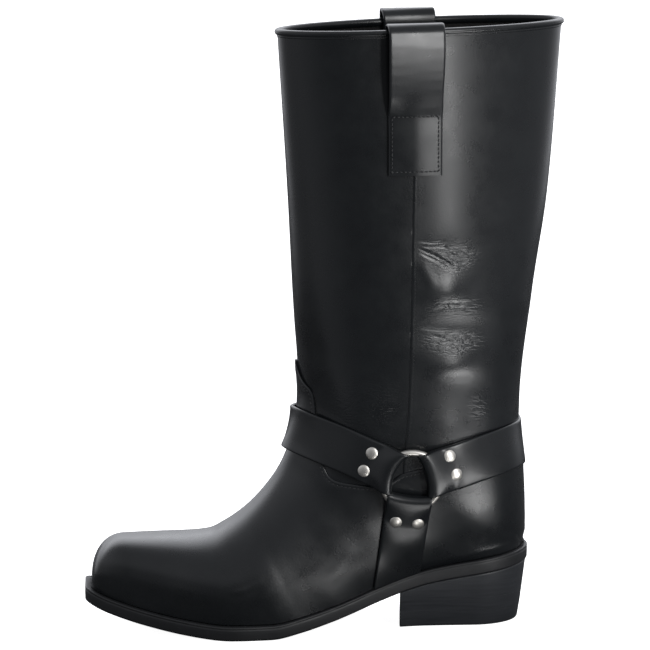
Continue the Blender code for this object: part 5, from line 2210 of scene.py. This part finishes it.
@dataclass
class Studio:
    """Pale floor, soft lights and a camera at the photograph's angle."""

    camera_place: tuple[float, float, float] = (-201.5, -2447.1, 630.0)
    camera_aim: tuple[float, float, float] = (-81.8, 0.0, 183.7)
    lens: float = 225.2
    clip_end: float = 20.0
    floor_shade: str = "#f4f4f3"
    floor_dim: str = "#5a5a5a"
    floor_roughness: float = 0.9
    floor_glow: float = 0.95
    floor_reach: tuple[float, float, float] = (1000.0, -350.0, 4200.0)
    room_shade: str = "#f7f9ff"
    white: str = "#ffffff"
    behind: Ramp = Ramp(0.1, 0.9, 0.1, 0.95)
    beside: Ramp = Ramp(0.25, 0.9, 0.0, 0.26)
    above: Ramp = Ramp(0.15, 0.5, 0.0, 1.6)
    far: Ramp = Ramp(0.3, 0.7, 0.18, 1.0)
    lights: tuple[Softbox, ...] = (
        Softbox("side_softbox", (668.0, -1200.0, 195.0), (-20.0, 0.0, 195.0), 170.0, 370.0, 1.45),
        Softbox("high_softbox", (668.0, -1200.0, 730.0), (-20.0, 0.0, 730.0), 170.0, 700.0, 7.0),
        Softbox("counter_card", (235.0, -286.0, 1.0), (235.0, -286.0, 500.0), 195.0, 195.0, 1.05),
        Softbox("vamp_card", (35.0, -222.0, 1.0), (35.0, -222.0, 500.0), 60.0, 46.0, 0.009),
        Softbox("strap_card", (-15.0, -175.0, 1.0), (-15.0, -175.0, 500.0), 36.0, 130.0, 0.05),
    )

    @staticmethod
    def stand(data: ID, place: Sequence[float], aim: Sequence[float]) -> Object:
        """Put a camera or a light at a place in the scene, facing a point."""
        made = bpy.data.objects.new(data.name, data)
        made.location = Vector(place) * MM
        made.rotation_euler = ((Vector(place) - Vector(aim)) * MM).to_track_quat("Z", "Y").to_euler()
        bpy.context.scene.collection.objects.link(made)
        return made

    def place_camera(self) -> None:
        """Set the camera."""
        data = bpy.data.cameras.new("camera")
        data.lens = self.lens
        data.clip_end = self.clip_end
        bpy.context.scene.camera = self.stand(data, self.camera_place, self.camera_aim)

    def place_lights(self) -> None:
        """Hang the softboxes."""
        for box in self.lights:
            data = bpy.data.lights.new(box.name, "AREA")
            data.shape = "RECTANGLE"
            data.size, data.size_y = box.wide * MM, box.tall * MM
            data.energy = box.power
            self.stand(data, box.place, box.aim).visible_camera = False

    @staticmethod
    def for_the_eye(
        tree: NodeTree, unseen: NodeSocket, seen: NodeSocket
    ) -> NodeSocket:
        """Mix two shaders, one for what the camera sees and one for every other ray."""
        ray = add_node(tree, "ShaderNodeLightPath").outputs["Is Camera Ray"]
        return add_node(tree, "ShaderNodeMixShader", {0: ray, 1: unseen, 2: seen}).outputs["Shader"]

    def lay_floor(self) -> None:
        """Lay the floor, lit from below for the eye but dim in reflections, so that leather stays black."""
        material, tree = new_material("backlit_floor_sheet")
        shader = tree.nodes["Principled BSDF"]
        glow = {"Emission Color": linear(self.white), "Emission Strength": self.floor_glow}
        matt = {"Base Color": linear(self.floor_shade), "Roughness": self.floor_roughness}
        wire(tree, shader, {**matt, **glow})
        dim = add_node(tree, "ShaderNodeBsdfDiffuse", {"Color": linear(self.floor_dim)})
        mixed = self.for_the_eye(tree, dim.outputs["BSDF"], shader.outputs["BSDF"])
        wire(tree, tree.nodes["Material Output"], {"Surface": mixed})
        aside, front, back = self.floor_reach
        corners = [(-aside, front, 0.0), (aside, front, 0.0), (aside, back, 0.0), (-aside, back, 0.0)]
        made = put("floor", np.array(corners), [[0, 1, 2, 3]], material)

    def light_world(self) -> None:
        """White surround for the eye, and a dim room that is bright behind the boot for reflections."""
        world = bpy.data.worlds.new("studio")
        bpy.context.scene.world = world
        world.use_nodes = True
        tree = world.node_tree
        tree.nodes.clear()
        way = add_node(tree, "ShaderNodeTexCoord").outputs["Generated"]
        x, y, z = add_node(tree, "ShaderNodeSeparateXYZ", {"Vector": way}).outputs
        aside = add_node(tree, "ShaderNodeMath", {0: x}, operation="ABSOLUTE").outputs["Value"]
        glows = []
        for along, ramp in ((y, self.behind), (aside, self.beside), (z, self.above), (y, self.far)):
            span = {"From Min": ramp.start, "From Max": ramp.end, "To Min": ramp.least, "To Max": ramp.most}
            made = add_node(
                tree, "ShaderNodeMapRange", {"Value": along, **span}, interpolation_type="SMOOTHSTEP"
            )
            glows.append(made.outputs["Result"])
        behind, beside, above, far = glows
        around = add_node(tree, "ShaderNodeMath", {0: behind, 1: beside}, operation="ADD").outputs["Value"]
        sums = {0: above, 1: far, 2: around}
        glow = add_node(tree, "ShaderNodeMath", sums, operation="MULTIPLY_ADD").outputs["Value"]
        room = add_node(tree, "ShaderNodeBackground", {"Color": linear(self.room_shade), "Strength": glow})
        white = add_node(tree, "ShaderNodeBackground", {"Color": linear(self.white), "Strength": 1.0})
        mixed = self.for_the_eye(tree, room.outputs["Background"], white.outputs["Background"])
        add_node(tree, "ShaderNodeOutputWorld", {"Surface": mixed})

    def build(self) -> None:
        """Set up the whole studio."""
        bpy.context.scene.view_settings.view_transform = "Standard"
        self.place_camera()
        self.place_lights()
        self.lay_floor()
        self.light_world()


def offset_line(line: Array, away: float) -> Array:
    """Move a line in the side view to its right by a distance."""
    run = unit(np.gradient(line, axis=0))
    return line + np.stack([run[:, 1], -run[:, 0]], -1) * away


def sew_boot(
    repeats: Repeats, relief: Relief, foot: Skin, back: Skin, loops: dict[Side, Skin], straps: PullStraps
) -> None:
    """Sew the foot's top edge, the side seams and the pull straps.

    Args:
        repeats: What lays the stitches.
        relief: Where the seams are.
        foot: Skin of the foot's leather.
        back: Skin of the shaft's back panel.
        loops: Skins of the pull straps.
        straps: The pull straps' sizes.
    """
    edge = offset_line(evenly(rounded(FOOT_EDGE[2:-1], 2), SEAM_STEP), relief.stitch_in)
    seam = evenly(np.array([(x, z) for x, z in SIDE_SEAM if SEWN_FROM < z < SEWN_TO]), SEAM_STEP)
    seam = seam + np.array([relief.stitch_in, 0.0])
    box = evenly(straps.box(), BOX_STEP)
    for side in Side:
        for title, skin, line in (("edge", foot, edge), ("seam", back, seam), ("loop", loops[side], box)):
            repeats.sew(f"{title}_stitches_{side.title}", skin.along(side, line), STITCHES[title])


def main() -> None:
    """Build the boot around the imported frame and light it."""
    logging.basicConfig(level=logging.INFO, format="%(name)s %(message)s")
    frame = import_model()
    finishes = Finishes()
    last = Last()
    shares = np.linspace(0.0, 1.0, FIT_HALF)
    grid = last.grid(FIT_ROWS, shares, shares)
    skin = Skin(grid.reshape(-1, 3), grid_faces(*grid.shape[:2]))
    upper = Upper(last, finishes)
    foot = upper.build_foot()
    _, back = upper.build_shaft()
    CollarBinding(last, finishes).build()
    straps = PullStraps(finishes, skin)
    loops = {side: straps.build(side) for side in Side}
    joints = {joint["child"]: joint for joint in frame["joints"]}
    seats = {side: RingSeat(side, joints[f"{side.title}_ring"]) for side in Side}
    harness = Harness(finishes, skin, seats)
    harness.build(last)
    bottom = Bottom(last, finishes)
    bottom.build_outsole()
    bottom.build_heel()
    bottom.build_insole()
    repeats = Repeats(finishes)
    sew_boot(repeats, upper.relief, foot, back, loops, straps)
    for side in Side:
        ends = [f"{title}_{side.title}" for title in ("front", "back", "down")]
        nodes = [f"rivet_{end}_{which}" for end in ends for which in "ab"]
        repeats.set_rivets(f"rivet_caps_{side.title}", harness.rivets[side], nodes)
    Studio().build()


if __name__ == "__main__":
    main()
